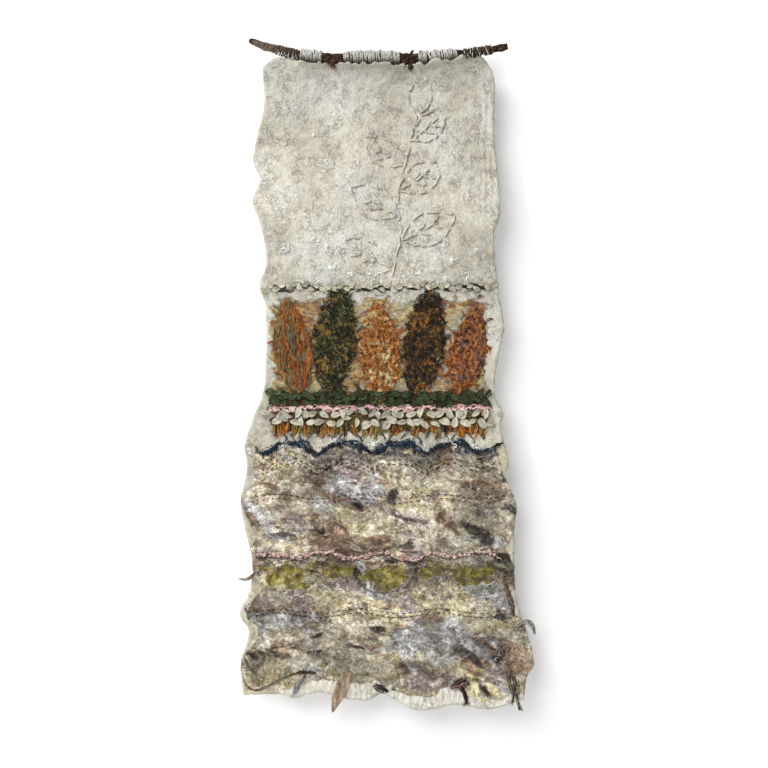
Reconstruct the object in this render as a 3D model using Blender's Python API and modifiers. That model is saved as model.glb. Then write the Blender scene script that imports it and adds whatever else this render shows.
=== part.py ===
"""A felt wall hanging: a long felted panel bound with yarn under a natural branch.

Metres, +Z up. The origin is on the branch's axis at its middle, where the wall's hooks hold it.
+X runs to the right of someone facing the hanging, and the wall is on the +Y side.
Places on the panel are given as (along, down): along X, and down from the origin.
"""

import math

import bmesh
import bpy
from mathutils import Vector

# The panel
FELT_THICK = 0.003
FELT_ACROSS, FELT_ALONG = 16, 60  # cells of its grid

LEFT_EDGE = (  # down, out from the centre line
    (0.002, 0.146), (0.012, 0.158), (0.060, 0.156), (0.138, 0.172),
    (0.164, 0.163), (0.193, 0.172), (0.228, 0.161), (0.276, 0.153),
    (0.311, 0.163), (0.339, 0.154), (0.450, 0.157), (0.495, 0.173),
    (0.528, 0.183), (0.560, 0.180), (0.600, 0.188), (0.632, 0.184),
    (0.682, 0.173), (0.728, 0.176), (0.756, 0.190), (0.779, 0.177),
    (0.822, 0.188), (0.866, 0.185),
)
RIGHT_EDGE = (  # down, out from the centre line
    (0.001, 0.143), (0.018, 0.154), (0.035, 0.157), (0.110, 0.157),
    (0.150, 0.161), (0.212, 0.164), (0.242, 0.156), (0.320, 0.163),
    (0.369, 0.170), (0.402, 0.163), (0.456, 0.157), (0.485, 0.169),
    (0.502, 0.165), (0.550, 0.176), (0.568, 0.172), (0.606, 0.187),
    (0.632, 0.184), (0.695, 0.184), (0.740, 0.188), (0.790, 0.204),
    (0.822, 0.210), (0.842, 0.200), (0.871, 0.196),
)
TOP_EDGE = (  # along, down
    (-0.148, 0.0010), (-0.136, -0.0012), (-0.122, 0.0018), (-0.107, 0.0070),
    (-0.090, 0.0100), (-0.078, 0.0102), (-0.063, 0.0092), (-0.040, 0.0114),
    (-0.010, 0.0104), (0.020, 0.0112), (0.044, 0.0104), (0.060, 0.0112),
    (0.080, 0.0086), (0.090, 0.0070), (0.106, 0.0042), (0.126, -0.0004),
    (0.140, -0.0024), (0.145, 0.0000),
)
BOTTOM_EDGE = (  # along, down
    (-0.185, 0.866), (-0.138, 0.865), (-0.115, 0.870), (-0.085, 0.862),
    (-0.020, 0.874), (0.004, 0.865), (0.050, 0.886), (0.104, 0.879),
    (0.148, 0.885), (0.196, 0.871),
)

# The branch
BRANCH = (  # along, towards the wall, up, radius
    (-0.1768, -0.0010, 0.0243, 0.0018),
    (-0.1690, -0.0008, 0.0215, 0.0040),
    (-0.1590, -0.0004, 0.0174, 0.0051),
    (-0.1440, 0.0004, 0.0131, 0.0056),
    (-0.1250, 0.0010, 0.0078, 0.0062),
    (-0.1090, 0.0012, 0.0038, 0.0068),
    (-0.0910, 0.0010, 0.0015, 0.0070),
    (-0.0630, 0.0003, -0.0007, 0.0072),
    (-0.0116, -0.0005, 0.0005, 0.0072),
    (0.0420, -0.0002, -0.0008, 0.0071),
    (0.0630, 0.0003, 0.0003, 0.0070),
    (0.0940, 0.0008, 0.0036, 0.0062),
    (0.1100, 0.0008, 0.0055, 0.0054),
    (0.1320, 0.0003, 0.0086, 0.0050),
    (0.1540, -0.0005, 0.0120, 0.0047),
    (0.1748, -0.0014, 0.0158, 0.0042),
)
RING_STEP = 0.008  # the furthest apart that its rings are
BRANCH_SIDES, TWIG_SIDES = 4, 2  # bevel resolution of what is round
STUBS = (  # along, up, then the same at its tip, how far the tip stands forward, radius
    (-0.0640, -0.0030, -0.0625, -0.0150, 0.0090, 0.0031),
    (0.0418, -0.0030, 0.0428, -0.0175, 0.0098, 0.0029),
    (0.0405, 0.0020, 0.0462, 0.0105, 0.0040, 0.0016),
)

# What is wound on the branch
GAP = 0.0003  # between pieces that touch
YARN_THICK = 0.0026
THREAD_THICK = 0.0010
WINDINGS = (  # name, first and last along, thickness of its thread
    ("winding_left", -0.1080, -0.0765, YARN_THICK),
    ("winding_middle", -0.0490, 0.0305, YARN_THICK),
    ("winding_right", 0.0530, 0.1070, YARN_THICK),
    ("thread_left", -0.1400, -0.1095, THREAD_THICK),
    ("thread_right", 0.1150, 0.1550, THREAD_THICK),
)
END_TURN_DROP = 0.35  # how much of the thread's thickness the end turns sink by

# What is sewn or felted to the front, as pieces of their own
LEAF_THICK = 0.0012
LEAF_STAND_OFF = 0.0010  # from the panel's front to a leaf's back
LEAF_BLUNT = 0.0016  # half the width of a leaf's ends
LEAF_ACROSS, LEAF_ALONG = 4, 12
LEAVES = (  # name, along, down at its middle, length, width, degrees it leans right
    ("leaf_rust", -0.118, 0.398, 0.132, 0.052, -9.0),
    ("leaf_olive", -0.060, 0.386, 0.146, 0.056, 5.0),
    ("leaf_ochre", 0.001, 0.400, 0.138, 0.058, -4.0),
    ("leaf_bark", 0.061, 0.388, 0.148, 0.054, 7.0),
    ("leaf_copper", 0.120, 0.402, 0.128, 0.050, 12.0),
)
SCRAP_THICK = 0.0012
SCRAP_TOP, SCRAP_TIP = (-0.0440, 0.834), (-0.0632, 0.888)  # along, down
SCRAP_WIDTHS = (0.0060, 0.0092, 0.0080, 0.0012)  # half widths from its top to its tip
SCRAP_LIFT = 0.007  # how far its tip curls forward
SCRAP_ACROSS, SCRAP_ALONG = 3, 8
LOCKS = (  # name, then rows of along, down, forward from the panel's front, radius
    ("lock_right", (
        (0.1830, 0.7770, 0.0006, 0.0022), (0.1920, 0.7700, 0.0016, 0.0034),
        (0.2010, 0.7672, 0.0030, 0.0036), (0.2085, 0.7720, 0.0034, 0.0031),
        (0.2115, 0.7825, 0.0034, 0.0016),
    )),
    ("lock_left", (
        (-0.1640, 0.6980, 0.0006, 0.0018), (-0.1720, 0.7035, 0.0012, 0.0025),
        (-0.1800, 0.7080, 0.0020, 0.0020), (-0.1890, 0.7085, 0.0026, 0.0008),
    )),
    ("lock_hem", (
        (0.1815, 0.8380, 0.0006, 0.0016), (0.1845, 0.8520, 0.0012, 0.0022),
        (0.1860, 0.8680, 0.0024, 0.0019), (0.1915, 0.8850, 0.0034, 0.0009),
    )),
)
LOCK_STEP = 0.004

COLOURS = {  # name: red, green, blue, roughness
    "felt": (0.60, 0.57, 0.49, 0.95),
    "bark": (0.085, 0.050, 0.036, 0.80),
    "yarn": (0.50, 0.49, 0.45, 0.90),
    "thread": (0.20, 0.14, 0.12, 0.80),
    "leaf_rust": (0.33, 0.11, 0.03, 0.95),
    "leaf_olive": (0.08, 0.09, 0.03, 0.95),
    "leaf_ochre": (0.30, 0.18, 0.05, 0.95),
    "leaf_bark": (0.06, 0.045, 0.025, 0.95),
    "leaf_copper": (0.38, 0.15, 0.05, 0.95),
    "scrap": (0.33, 0.24, 0.17, 0.95),
    "lock": (0.12, 0.11, 0.10, 0.95),
}


def smooth(t):
    """An ease from 0 to 1 as t goes from 0 to 1."""
    t = min(1.0, max(0.0, t))
    return t * t * (3 - 2 * t)


def follow(table, at):
    """The table's other columns at this value of its first, on one smooth curve through its rows."""
    at = min(table[-1][0], max(table[0][0], at))
    last = len(table) - 1
    i = next(k for k in range(last) if at <= table[k + 1][0])
    span = table[i + 1][0] - table[i][0]
    t = (at - table[i][0]) / span
    before, after = max(i - 1, 0), min(i + 2, last)
    found = []
    for column in range(1, len(table[0])):
        a, b = table[i][column], table[i + 1][column]
        slope_a = (b - table[before][column]) / (table[i + 1][0] - table[before][0])
        slope_b = (table[after][column] - a) / (table[after][0] - table[i][0])
        found.append(
            a * (2 * t**3 - 3 * t**2 + 1)
            + b * (3 * t**2 - 2 * t**3)
            + slope_a * span * (t**3 - 2 * t**2 + t)
            + slope_b * span * (t**3 - t**2)
        )
    return found


def mix(a, b, t):
    return a + (b - a) * t


def outline_place(u, v):
    """(along, down) on the flat panel, u from its left edge to its right and v from its top to its bottom."""
    top_left, top_right = TOP_EDGE[0], TOP_EDGE[-1]
    low_left, low_right = BOTTOM_EDGE[0], BOTTOM_EDGE[-1]
    top_along = mix(top_left[0], top_right[0], u)
    low_along = mix(low_left[0], low_right[0], u)
    left_down = mix(top_left[1], low_left[1], v)
    right_down = mix(top_right[1], low_right[1], v)
    top = (top_along, follow(TOP_EDGE, top_along)[0])
    low = (low_along, follow(BOTTOM_EDGE, low_along)[0])
    left = (-follow(LEFT_EDGE, left_down)[0], left_down)
    right = (follow(RIGHT_EDGE, right_down)[0], right_down)
    return tuple(
        mix(top[k], low[k], v)
        + mix(left[k], right[k], u)
        - mix(mix(top_left[k], top_right[k], u), mix(low_left[k], low_right[k], u), v)
        for k in (0, 1)
    )


def drape(along, down):
    """How far the panel's middle surface stands towards the wall."""
    edge = LEFT_EDGE if along < 0 else RIGHT_EDGE
    near_edge = smooth((abs(along) / follow(edge, down)[0] - 0.66) / 0.34)
    near_hem = smooth((down - 0.780) / 0.105)
    flutes = 0.0024 * math.exp(-down / 0.085) * math.sin(along / 0.0169 - 0.955)
    buckle = 0.0032 * math.sin(down / 0.059 + along / 0.150)
    if along < 0:
        ruffle = 0.0046 * math.sin(down / 0.0215 + 0.9 * math.sin(down / 0.066))
    else:
        ruffle = 0.0050 * math.sin(down / 0.0250 + 2.0 + 0.8 * math.sin(down / 0.081))
    curl = -0.0050 + 0.0042 * math.sin(along / 0.0225 + 1.1)
    settle = smooth(down / 0.05)  # the top edge stays under the branch
    return flutes + settle * (buckle + near_edge * ruffle) + near_hem * curl


def material(name, look):
    made = bpy.data.materials.new(name)
    made.use_nodes = True
    red, green, blue, roughness = COLOURS[look]
    shader = made.node_tree.nodes["Principled BSDF"]
    shader.inputs["Base Color"].default_value = (red, green, blue, 1.0)
    shader.inputs["Roughness"].default_value = roughness
    shader.inputs["Metallic"].default_value = 0.0
    return made


def add(obj, collection, look=None):
    """Puts an object in a collection, with its own material unless it is a helper."""
    collection.objects.link(obj)
    if look:
        obj.data.materials.append(material(obj.name, look))
    return obj


def sheet(name, collection, look, cells, place, thick):
    """A thin cloth: a grid whose cells follow place(u, v), made solid about its middle surface."""
    grid = bmesh.new()
    bmesh.ops.create_grid(grid, x_segments=cells[0], y_segments=cells[1], size=0.5)
    for vertex in grid.verts:
        vertex.co = place(vertex.co.x + 0.5, 0.5 - vertex.co.y)
    mesh = bpy.data.meshes.new(name)
    grid.to_mesh(mesh)
    grid.free()
    mesh.shade_smooth()
    made = add(bpy.data.objects.new(name, mesh), collection, look)
    body = made.modifiers.new("thickness", "SOLIDIFY")
    body.thickness = thick
    body.offset = 0.0
    return made


def tube(name, points, sides):
    """A round solid through points of (place, radius), as a mesh with its caps welded on."""
    curve = bpy.data.curves.new(name, "CURVE")
    curve.dimensions = "3D"
    curve.bevel_depth = 1.0
    curve.bevel_resolution = sides
    curve.use_fill_caps = True
    line = curve.splines.new("POLY")
    line.points.add(len(points) - 1)
    for point, (place, radius) in zip(line.points, points):
        point.co = (*place, 1.0)
        point.radius = radius
    guide = bpy.data.objects.new(name + "_line", curve)
    bpy.context.scene.collection.objects.link(guide)
    bpy.context.view_layer.update()
    graph = bpy.context.evaluated_depsgraph_get()
    mesh = bpy.data.meshes.new_from_object(guide.evaluated_get(graph))
    bpy.data.objects.remove(guide)
    welded = bmesh.new()
    welded.from_mesh(mesh)
    bmesh.ops.remove_doubles(welded, verts=welded.verts, dist=1e-6)
    welded.to_mesh(mesh)
    welded.free()
    mesh.name = name
    mesh.materials.clear()
    mesh.shade_smooth()
    mesh.set_sharp_from_angle(angle=math.radians(50))
    return bpy.data.objects.new(name, mesh)


def steps(first, last, longest):
    """Evenly spaced values from first to last, no further apart than longest."""
    count = max(1, math.ceil((last - first) / longest))
    return [mix(first, last, k / count) for k in range(count + 1)]


def rings(first, last):
    """Where the branch has its rings between two places, and the two places themselves."""
    own = steps(BRANCH[0][0], BRANCH[-1][0], RING_STEP)
    clear = 0.15 * RING_STEP
    return [first, *(ring for ring in own if first + clear < ring < last - clear), last]


def branch_points(places, more):
    """Points along the branch, each with the branch's radius and more."""
    points = []
    for along in places:
        back, up, radius = follow(BRANCH, along)
        points.append((Vector((along, back, up)), radius + more))
    return points


def helper(obj, collection):
    add(obj, collection)
    obj.hide_render = True
    obj.display_type = "WIRE"
    return obj


def combine(obj, other, operation):
    join = obj.modifiers.new(other.name, "BOOLEAN")
    join.object = other
    join.operation = operation


def make_branch(parts, helpers):
    whole = rings(BRANCH[0][0], BRANCH[-1][0])
    branch = add(tube("branch", branch_points(whole, 0.0), BRANCH_SIDES), parts, "bark")
    for number, (along, up, tip_along, tip_up, forward, radius) in enumerate(STUBS, 1):
        root, tip = Vector((along, 0.0, up)), Vector((tip_along, -forward, tip_up))
        points = [(root, radius), (root.lerp(tip, 0.6), radius), (tip, 0.8 * radius)]
        combine(branch, helper(tube(f"stub_{number}", points, TWIG_SIDES), helpers), "UNION")


def make_windings(parts, helpers):
    for name, first, last, thick in WINDINGS:
        sunk = thick * (1 - END_TURN_DROP)
        outside = (
            branch_points([first], sunk)
            + branch_points(rings(first + thick, last - thick), thick)
            + branch_points([last], sunk)
        )
        look = "yarn" if thick == YARN_THICK else "thread"
        winding = add(tube(name, outside, BRANCH_SIDES), parts, look)
        inside = branch_points(rings(first - thick, last + thick), GAP)
        bore = helper(tube(name + "_bore", inside, BRANCH_SIDES), helpers)
        combine(winding, bore, "DIFFERENCE")


def front(along, down, forward):
    """A point this far in front of the panel's front face."""
    return Vector((along, drape(along, down) - FELT_THICK / 2 - forward, -down))


def make_leaf(parts, name, along, down, length, width, lean):
    turn = math.radians(lean)

    def place(u, v):
        side = (u - 0.5) * 2 * max(LEAF_BLUNT, width / 2 * math.sin(math.pi * v) ** 0.8)
        rise = (0.5 - v) * length
        x = along + side * math.cos(turn) + rise * math.sin(turn)
        fall = down - rise * math.cos(turn) + side * math.sin(turn)
        return front(x, fall, LEAF_STAND_OFF + LEAF_THICK / 2)

    sheet(name, parts, name, (LEAF_ACROSS, LEAF_ALONG), place, LEAF_THICK)


def make_scrap(parts):
    """The pointed scrap of felt that hangs past the hem."""

    def place(u, v):
        at = v * (len(SCRAP_WIDTHS) - 1)
        k = min(int(at), len(SCRAP_WIDTHS) - 2)
        half = mix(SCRAP_WIDTHS[k], SCRAP_WIDTHS[k + 1], at - k)
        along = mix(SCRAP_TOP[0], SCRAP_TIP[0], v) + (2 * u - 1) * half
        down = mix(SCRAP_TOP[1], SCRAP_TIP[1], v)
        return front(along, down, GAP + SCRAP_THICK + SCRAP_LIFT * v * v)

    sheet("scrap_hem", parts, "scrap", (SCRAP_ACROSS, SCRAP_ALONG), place, SCRAP_THICK)


def make_lock(parts, name, rows):
    """A curled lock of wool, on a smooth line through its rows."""
    table = tuple((k, *row) for k, row in enumerate(rows))
    length = sum(math.dist(a[:3], b[:3]) for a, b in zip(rows, rows[1:]))
    points = []
    for at in steps(0, len(rows) - 1, (len(rows) - 1) * LOCK_STEP / length):
        along, down, forward, radius = follow(table, at)
        points.append((front(along, down, forward + radius), radius))
    add(tube(name, points, TWIG_SIDES), parts, "lock")


def main():
    for obj in list(bpy.data.objects):
        bpy.data.objects.remove(obj)
    parts = bpy.data.collections.new("felt wall hanging")
    helpers = bpy.data.collections.new("cutters")
    for collection in (parts, helpers):
        bpy.context.scene.collection.children.link(collection)

    def felt_place(u, v):
        along, down = outline_place(u, v)
        return Vector((along, drape(along, down), -down))

    sheet("felt_panel", parts, "felt", (FELT_ACROSS, FELT_ALONG), felt_place, FELT_THICK)
    make_branch(parts, helpers)
    make_windings(parts, helpers)
    for leaf in LEAVES:
        make_leaf(parts, *leaf)
    make_scrap(parts)
    for name, rows in LOCKS:
        make_lock(parts, name, rows)


main()
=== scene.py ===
"""The looks of a felt wall hanging, built round its packed construction.

Places on the panel are (along, down): metres along X, and down from the branch's axis.
The hanging faces -Y.
"""

import functools
import math

import bpy
import numpy as np
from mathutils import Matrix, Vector


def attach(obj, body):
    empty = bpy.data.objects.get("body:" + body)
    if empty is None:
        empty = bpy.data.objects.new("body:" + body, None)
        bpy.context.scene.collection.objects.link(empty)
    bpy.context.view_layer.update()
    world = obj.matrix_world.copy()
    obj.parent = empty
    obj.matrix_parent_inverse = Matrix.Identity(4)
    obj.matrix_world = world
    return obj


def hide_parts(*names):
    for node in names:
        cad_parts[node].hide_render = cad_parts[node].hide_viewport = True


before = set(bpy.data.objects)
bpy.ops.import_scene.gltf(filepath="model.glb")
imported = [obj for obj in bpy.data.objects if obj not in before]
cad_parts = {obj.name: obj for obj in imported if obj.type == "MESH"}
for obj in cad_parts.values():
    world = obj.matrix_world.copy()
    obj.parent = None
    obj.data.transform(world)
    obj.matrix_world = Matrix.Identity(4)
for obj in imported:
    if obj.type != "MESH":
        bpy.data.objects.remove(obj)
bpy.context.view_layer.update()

# ------------------------------------------------------------ the construction's tables

FELT_THICK = 0.003
LEFT_EDGE = (  # down, out from the centre line
    (0.002, 0.146), (0.012, 0.158), (0.060, 0.156), (0.138, 0.172),
    (0.164, 0.163), (0.193, 0.172), (0.228, 0.161), (0.276, 0.153),
    (0.311, 0.163), (0.339, 0.154), (0.450, 0.157), (0.495, 0.173),
    (0.528, 0.183), (0.560, 0.180), (0.600, 0.188), (0.632, 0.184),
    (0.682, 0.173), (0.728, 0.176), (0.756, 0.190), (0.779, 0.177),
    (0.822, 0.188), (0.866, 0.185),
)
RIGHT_EDGE = (  # down, out from the centre line
    (0.001, 0.143), (0.018, 0.154), (0.035, 0.157), (0.110, 0.157),
    (0.150, 0.161), (0.212, 0.164), (0.242, 0.156), (0.320, 0.163),
    (0.369, 0.170), (0.402, 0.163), (0.456, 0.157), (0.485, 0.169),
    (0.502, 0.165), (0.550, 0.176), (0.568, 0.172), (0.606, 0.187),
    (0.632, 0.184), (0.695, 0.184), (0.740, 0.188), (0.790, 0.204),
    (0.822, 0.210), (0.842, 0.200), (0.871, 0.196),
)
TOP_EDGE = (  # along, down
    (-0.148, 0.0010), (-0.136, -0.0012), (-0.122, 0.0018), (-0.107, 0.0070),
    (-0.090, 0.0100), (-0.078, 0.0102), (-0.063, 0.0092), (-0.040, 0.0114),
    (-0.010, 0.0104), (0.020, 0.0112), (0.044, 0.0104), (0.060, 0.0112),
    (0.080, 0.0086), (0.090, 0.0070), (0.106, 0.0042), (0.126, -0.0004),
    (0.140, -0.0024), (0.145, 0.0000),
)
BOTTOM_EDGE = (  # along, down
    (-0.185, 0.866), (-0.138, 0.865), (-0.115, 0.870), (-0.085, 0.862),
    (-0.020, 0.874), (0.004, 0.865), (0.050, 0.886), (0.104, 0.879),
    (0.148, 0.885), (0.196, 0.871),
)
BRANCH = (  # along, towards the wall, up, radius
    (-0.1768, -0.0010, 0.0243, 0.0018),
    (-0.1690, -0.0008, 0.0215, 0.0040),
    (-0.1590, -0.0004, 0.0174, 0.0051),
    (-0.1440, 0.0004, 0.0131, 0.0056),
    (-0.1250, 0.0010, 0.0078, 0.0062),
    (-0.1090, 0.0012, 0.0038, 0.0068),
    (-0.0910, 0.0010, 0.0015, 0.0070),
    (-0.0630, 0.0003, -0.0007, 0.0072),
    (-0.0116, -0.0005, 0.0005, 0.0072),
    (0.0420, -0.0002, -0.0008, 0.0071),
    (0.0630, 0.0003, 0.0003, 0.0070),
    (0.0940, 0.0008, 0.0036, 0.0062),
    (0.1100, 0.0008, 0.0055, 0.0054),
    (0.1320, 0.0003, 0.0086, 0.0050),
    (0.1540, -0.0005, 0.0120, 0.0047),
    (0.1748, -0.0014, 0.0158, 0.0042),
)
STUBS = (  # along, up, then the same at its tip, how far the tip stands forward, radius
    (-0.0640, -0.0030, -0.0625, -0.0150, 0.0090, 0.0031),
    (0.0418, -0.0030, 0.0428, -0.0175, 0.0098, 0.0029),
    (0.0405, 0.0020, 0.0462, 0.0105, 0.0040, 0.0016),
)
LEAVES = (  # node, along, down at its middle, length, width, degrees it leans right
    ("leaf_rust", -0.118, 0.398, 0.132, 0.052, -9.0),
    ("leaf_olive", -0.060, 0.386, 0.146, 0.056, 5.0),
    ("leaf_ochre", 0.001, 0.400, 0.138, 0.058, -4.0),
    ("leaf_bark", 0.061, 0.388, 0.148, 0.054, 7.0),
    ("leaf_copper", 0.120, 0.402, 0.128, 0.050, 12.0),
)
SCRAP_TOP, SCRAP_TIP = (-0.0440, 0.834), (-0.0632, 0.888)
SCRAP_LIFT = 0.007
LOCKS = {  # node: rows of along, down, forward from the panel's front, radius
    "lock_right": (
        (0.1830, 0.7770, 0.0006, 0.0022), (0.1920, 0.7700, 0.0016, 0.0034),
        (0.2010, 0.7672, 0.0030, 0.0036), (0.2085, 0.7720, 0.0034, 0.0031),
        (0.2115, 0.7825, 0.0034, 0.0016),
    ),
    "lock_left": (
        (-0.1640, 0.6980, 0.0006, 0.0018), (-0.1720, 0.7035, 0.0012, 0.0025),
        (-0.1800, 0.7080, 0.0020, 0.0020), (-0.1890, 0.7085, 0.0026, 0.0008),
    ),
    "lock_hem": (
        (0.1815, 0.8380, 0.0006, 0.0016), (0.1845, 0.8520, 0.0012, 0.0022),
        (0.1860, 0.8680, 0.0024, 0.0019), (0.1915, 0.8850, 0.0034, 0.0009),
    ),
}

# ------------------------------------------------------------ colours, linear red, green, blue

WOOLS = {  # the colours of loose fibres, yarns and stitches
    "bright": (0.86, 0.86, 0.82),
    "white": (0.72, 0.71, 0.65),
    "cream": (0.62, 0.57, 0.44),
    "sage": (0.40, 0.40, 0.29),
    "stone": (0.48, 0.47, 0.43),
    "grey": (0.30, 0.28, 0.25),
    "slate": (0.20, 0.225, 0.25),
    "mauve": (0.34, 0.26, 0.25),
    "taupe": (0.30, 0.24, 0.17),
    "pink": (0.60, 0.35, 0.34),
    "blush": (0.72, 0.53, 0.47),
    "rust": (0.30, 0.075, 0.015),
    "orange": (0.50, 0.19, 0.04),
    "ochre": (0.40, 0.25, 0.055),
    "mustard": (0.40, 0.33, 0.07),
    "moss": (0.21, 0.19, 0.105),
    "olive": (0.10, 0.105, 0.030),
    "green": (0.035, 0.062, 0.022),
    "plum": (0.15, 0.08, 0.09),
    "brown": (0.07, 0.042, 0.025),
    "navy": (0.018, 0.032, 0.060),
    "teal": (0.014, 0.050, 0.062),
    "black": (0.016, 0.016, 0.018),
    "red": (0.16, 0.030, 0.025),
}


def tone(*names):
    """The marks that the wool material reads as these colours."""
    order = list(WOOLS)
    return np.array([(order.index(name) + 0.5) / len(order) for name in names])


# ------------------------------------------------------------ numbers

def smooth(t):
    """t clipped to 0 to 1, with an eased start and end."""
    t = np.clip(t, 0.0, 1.0)
    return t * t * (3 - 2 * t)


def mix(a, b, t):
    """From a where t is 0 to b where t is 1."""
    return a + (b - a) * t


def pair(along, down):
    """Rows of (along, down)."""
    return np.stack([along, down], axis=-1)


def unit(ways):
    """The same directions, each 1 long."""
    return ways / (np.linalg.norm(ways, axis=-1, keepdims=True) + 1e-12)


def aside_of(line):
    """Directions on the felt square to a line of (along, down)."""
    return unit(np.gradient(line, axis=0)[:, ::-1] * (-1, 1))


def distance_along(line):
    """How far along the line each of its points lies."""
    return np.concatenate([[0], np.cumsum(np.hypot(*np.diff(line, axis=0).T))])


def any_seed(rng):
    """One of the 200 seeds of noise that the loose wool shares."""
    return int(rng.integers(200)) + 600


@functools.lru_cache(maxsize=512)
def slopes(seed):
    """A table of random directions for noise."""
    turns = np.random.default_rng(seed).random((128, 128)) * 2 * np.pi
    return np.cos(turns), np.sin(turns)


def noise(x, y, seed):
    """Smooth noise of about -1 to 1 that changes over a distance of 1."""
    x, y = np.broadcast_arrays(np.asarray(x, float), np.asarray(y, float))
    slope_x, slope_y = slopes(seed)
    i, j = np.floor(x).astype(int), np.floor(y).astype(int)
    fx, fy = x - i, y - j

    def corner(di, dj):
        at = (i + di) % 128, (j + dj) % 128
        return slope_x[at] * (fx - di) + slope_y[at] * (fy - dj)

    low = mix(corner(0, 0), corner(1, 0), smooth(fx))
    high = mix(corner(0, 1), corner(1, 1), smooth(fx))
    return 1.5 * mix(low, high, smooth(fy))


def follow(table, at):
    """The table's other columns at these values of its first, on one smooth curve through its rows."""
    rows = np.array(table, float)
    x, y = rows[:, 0], rows[:, 1:]
    at = np.clip(np.asarray(at, float), x[0], x[-1])
    i = np.clip(np.searchsorted(x, at) - 1, 0, len(x) - 2)
    slope = np.empty_like(y)
    slope[1:-1] = (y[2:] - y[:-2]) / (x[2:] - x[:-2])[:, None]
    slope[0] = (y[1] - y[0]) / (x[1] - x[0])
    slope[-1] = (y[-1] - y[-2]) / (x[-1] - x[-2])
    span = (x[i + 1] - x[i])[..., None]
    t = (at[..., None] - x[i][..., None]) / span
    return (
        y[i] * (2 * t**3 - 3 * t**2 + 1)
        + y[i + 1] * (3 * t**2 - 2 * t**3)
        + slope[i] * span * (t**3 - 2 * t**2 + t)
        + slope[i + 1] * span * (t**3 - t**2)
    )


# ------------------------------------------------------------ the panel's form

WOUND = ((-0.1080, -0.0765), (-0.0490, 0.0305), (0.0530, 0.1070))  # first and last along of each winding
TAB = (0.0775, 0.0094, 0.0074)  # the tab's middle along, half its width, and how far it rises


def under_windings(along):
    """1 below the windings, falling to 0 between them."""
    shares = [
        smooth((along - first + 0.004) / 0.007) * smooth((last + 0.004 - along) / 0.007)
        for first, last in WOUND
    ]
    return np.maximum.reduce(shares)


def lip_share(along):
    """1 where the top edge turns up in front of the branch, and 0 beside its ends and round its stubs."""
    stubs = np.exp(-((along + 0.0635) / 0.0068) ** 4) + np.exp(-((along - 0.0422) / 0.0068) ** 4)
    return smooth((along + 0.114) / 0.008) * smooth((0.121 - along) / 0.008) * (1 - stubs)


def top_edge(along):
    """How far down the top edge is: rounded lobes in front of the windings, the tab among them."""
    waves = abs(np.sin(along / 0.0062 + 4.6 * noise(along / 0.029, 0.5, 18))) ** 0.8
    lobes = 0.0046 * waves * smooth(0.52 + 2.2 * noise(along / 0.012, 0.5, 19)) * under_windings(along)
    middle, half, rise = TAB
    tab = rise * np.sqrt(np.clip(1 - ((along - middle) / half) ** 2, 0, 1))
    raised = (0.0010 + 0.0022 * (1 - under_windings(along))) * lip_share(along)
    raised = raised + 0.0034 * np.exp(-((along - 0.114) / 0.006) ** 2)
    even_edge = follow(TOP_EDGE, along)[..., 0] + 0.0005 * noise(along / 0.006, 0.1, 15)
    return even_edge - raised - np.maximum(lobes, tab)


def left_edge(down):
    """Where the left edge is along, with its small raggedness."""
    rag = 0.0008 * noise(down / 0.011, 0.3, 11) + 0.0005 * noise(down / 0.004, 0.3, 12)
    return -follow(LEFT_EDGE, down)[..., 0] - rag


def right_edge(down):
    """Where the right edge is along, with its small raggedness."""
    rag = 0.0008 * noise(down / 0.010, 0.6, 13) + 0.0006 * noise(down / 0.004, 0.6, 14)
    return follow(RIGHT_EDGE, down)[..., 0] + rag


def bottom_edge(along):
    """How far down the hem is, with its small raggedness."""
    rag = 0.0012 * noise(along / 0.012, 0.8, 16) + 0.0007 * noise(along / 0.005, 0.8, 17)
    return follow(BOTTOM_EDGE, along)[..., 0] + rag


def outline_place(u, v):
    """(along, down), u from the left edge to the right and v from the top to the bottom."""
    (left, top_left), (right, top_right) = TOP_EDGE[0], TOP_EDGE[-1]
    (low_left, low_left_down), (low_right, low_right_down) = BOTTOM_EDGE[0], BOTTOM_EDGE[-1]
    top_along, low_along = mix(left, right, u), mix(low_left, low_right, u)
    left_down, right_down = mix(top_left, low_left_down, v), mix(top_right, low_right_down, v)
    along = (
        mix(top_along, low_along, v)
        + mix(left_edge(left_down), right_edge(right_down), u)
        - mix(mix(left, right, u), mix(low_left, low_right, u), v)
    )
    down = (
        mix(top_edge(top_along), bottom_edge(low_along), v)
        + mix(left_down, right_down, u)
        - mix(mix(top_left, top_right, u), mix(low_left_down, low_right_down, u), v)
    )
    return along, down


def drape(along, down):
    """How far the panel's middle surface stands towards the wall."""
    along, down = np.asarray(along, float), np.asarray(down, float)
    out = np.where(along < 0, follow(LEFT_EDGE, down)[..., 0], follow(RIGHT_EDGE, down)[..., 0])
    near_edge = smooth((abs(along) / out - 0.66) / 0.34)
    near_hem = smooth((down - 0.780) / 0.105)
    flutes = 0.0024 * np.exp(-down / 0.085) * np.sin(along / 0.0169 - 0.955)
    buckle = 0.0032 * np.sin(down / 0.059 + along / 0.150)
    left_ruffle = 0.0046 * np.sin(down / 0.0215 + 0.9 * np.sin(down / 0.066))
    right_ruffle = 0.0050 * np.sin(down / 0.0250 + 2.0 + 0.8 * np.sin(down / 0.081))
    ruffle = np.where(along < 0, left_ruffle, right_ruffle)
    curl = -0.0050 + 0.0042 * np.sin(along / 0.0225 + 1.1)
    hung = flutes + smooth(down / 0.05) * (buckle + near_edge * ruffle) + near_hem * curl
    below_top = down - follow(TOP_EDGE, along)[..., 0]
    over = lip_share(along)
    lip = -0.0105 - 0.0026 * smooth((0.0005 - below_top) / 0.006)
    return mix(hung, lip, over * smooth((0.0050 - below_top) / 0.0075))


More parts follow.
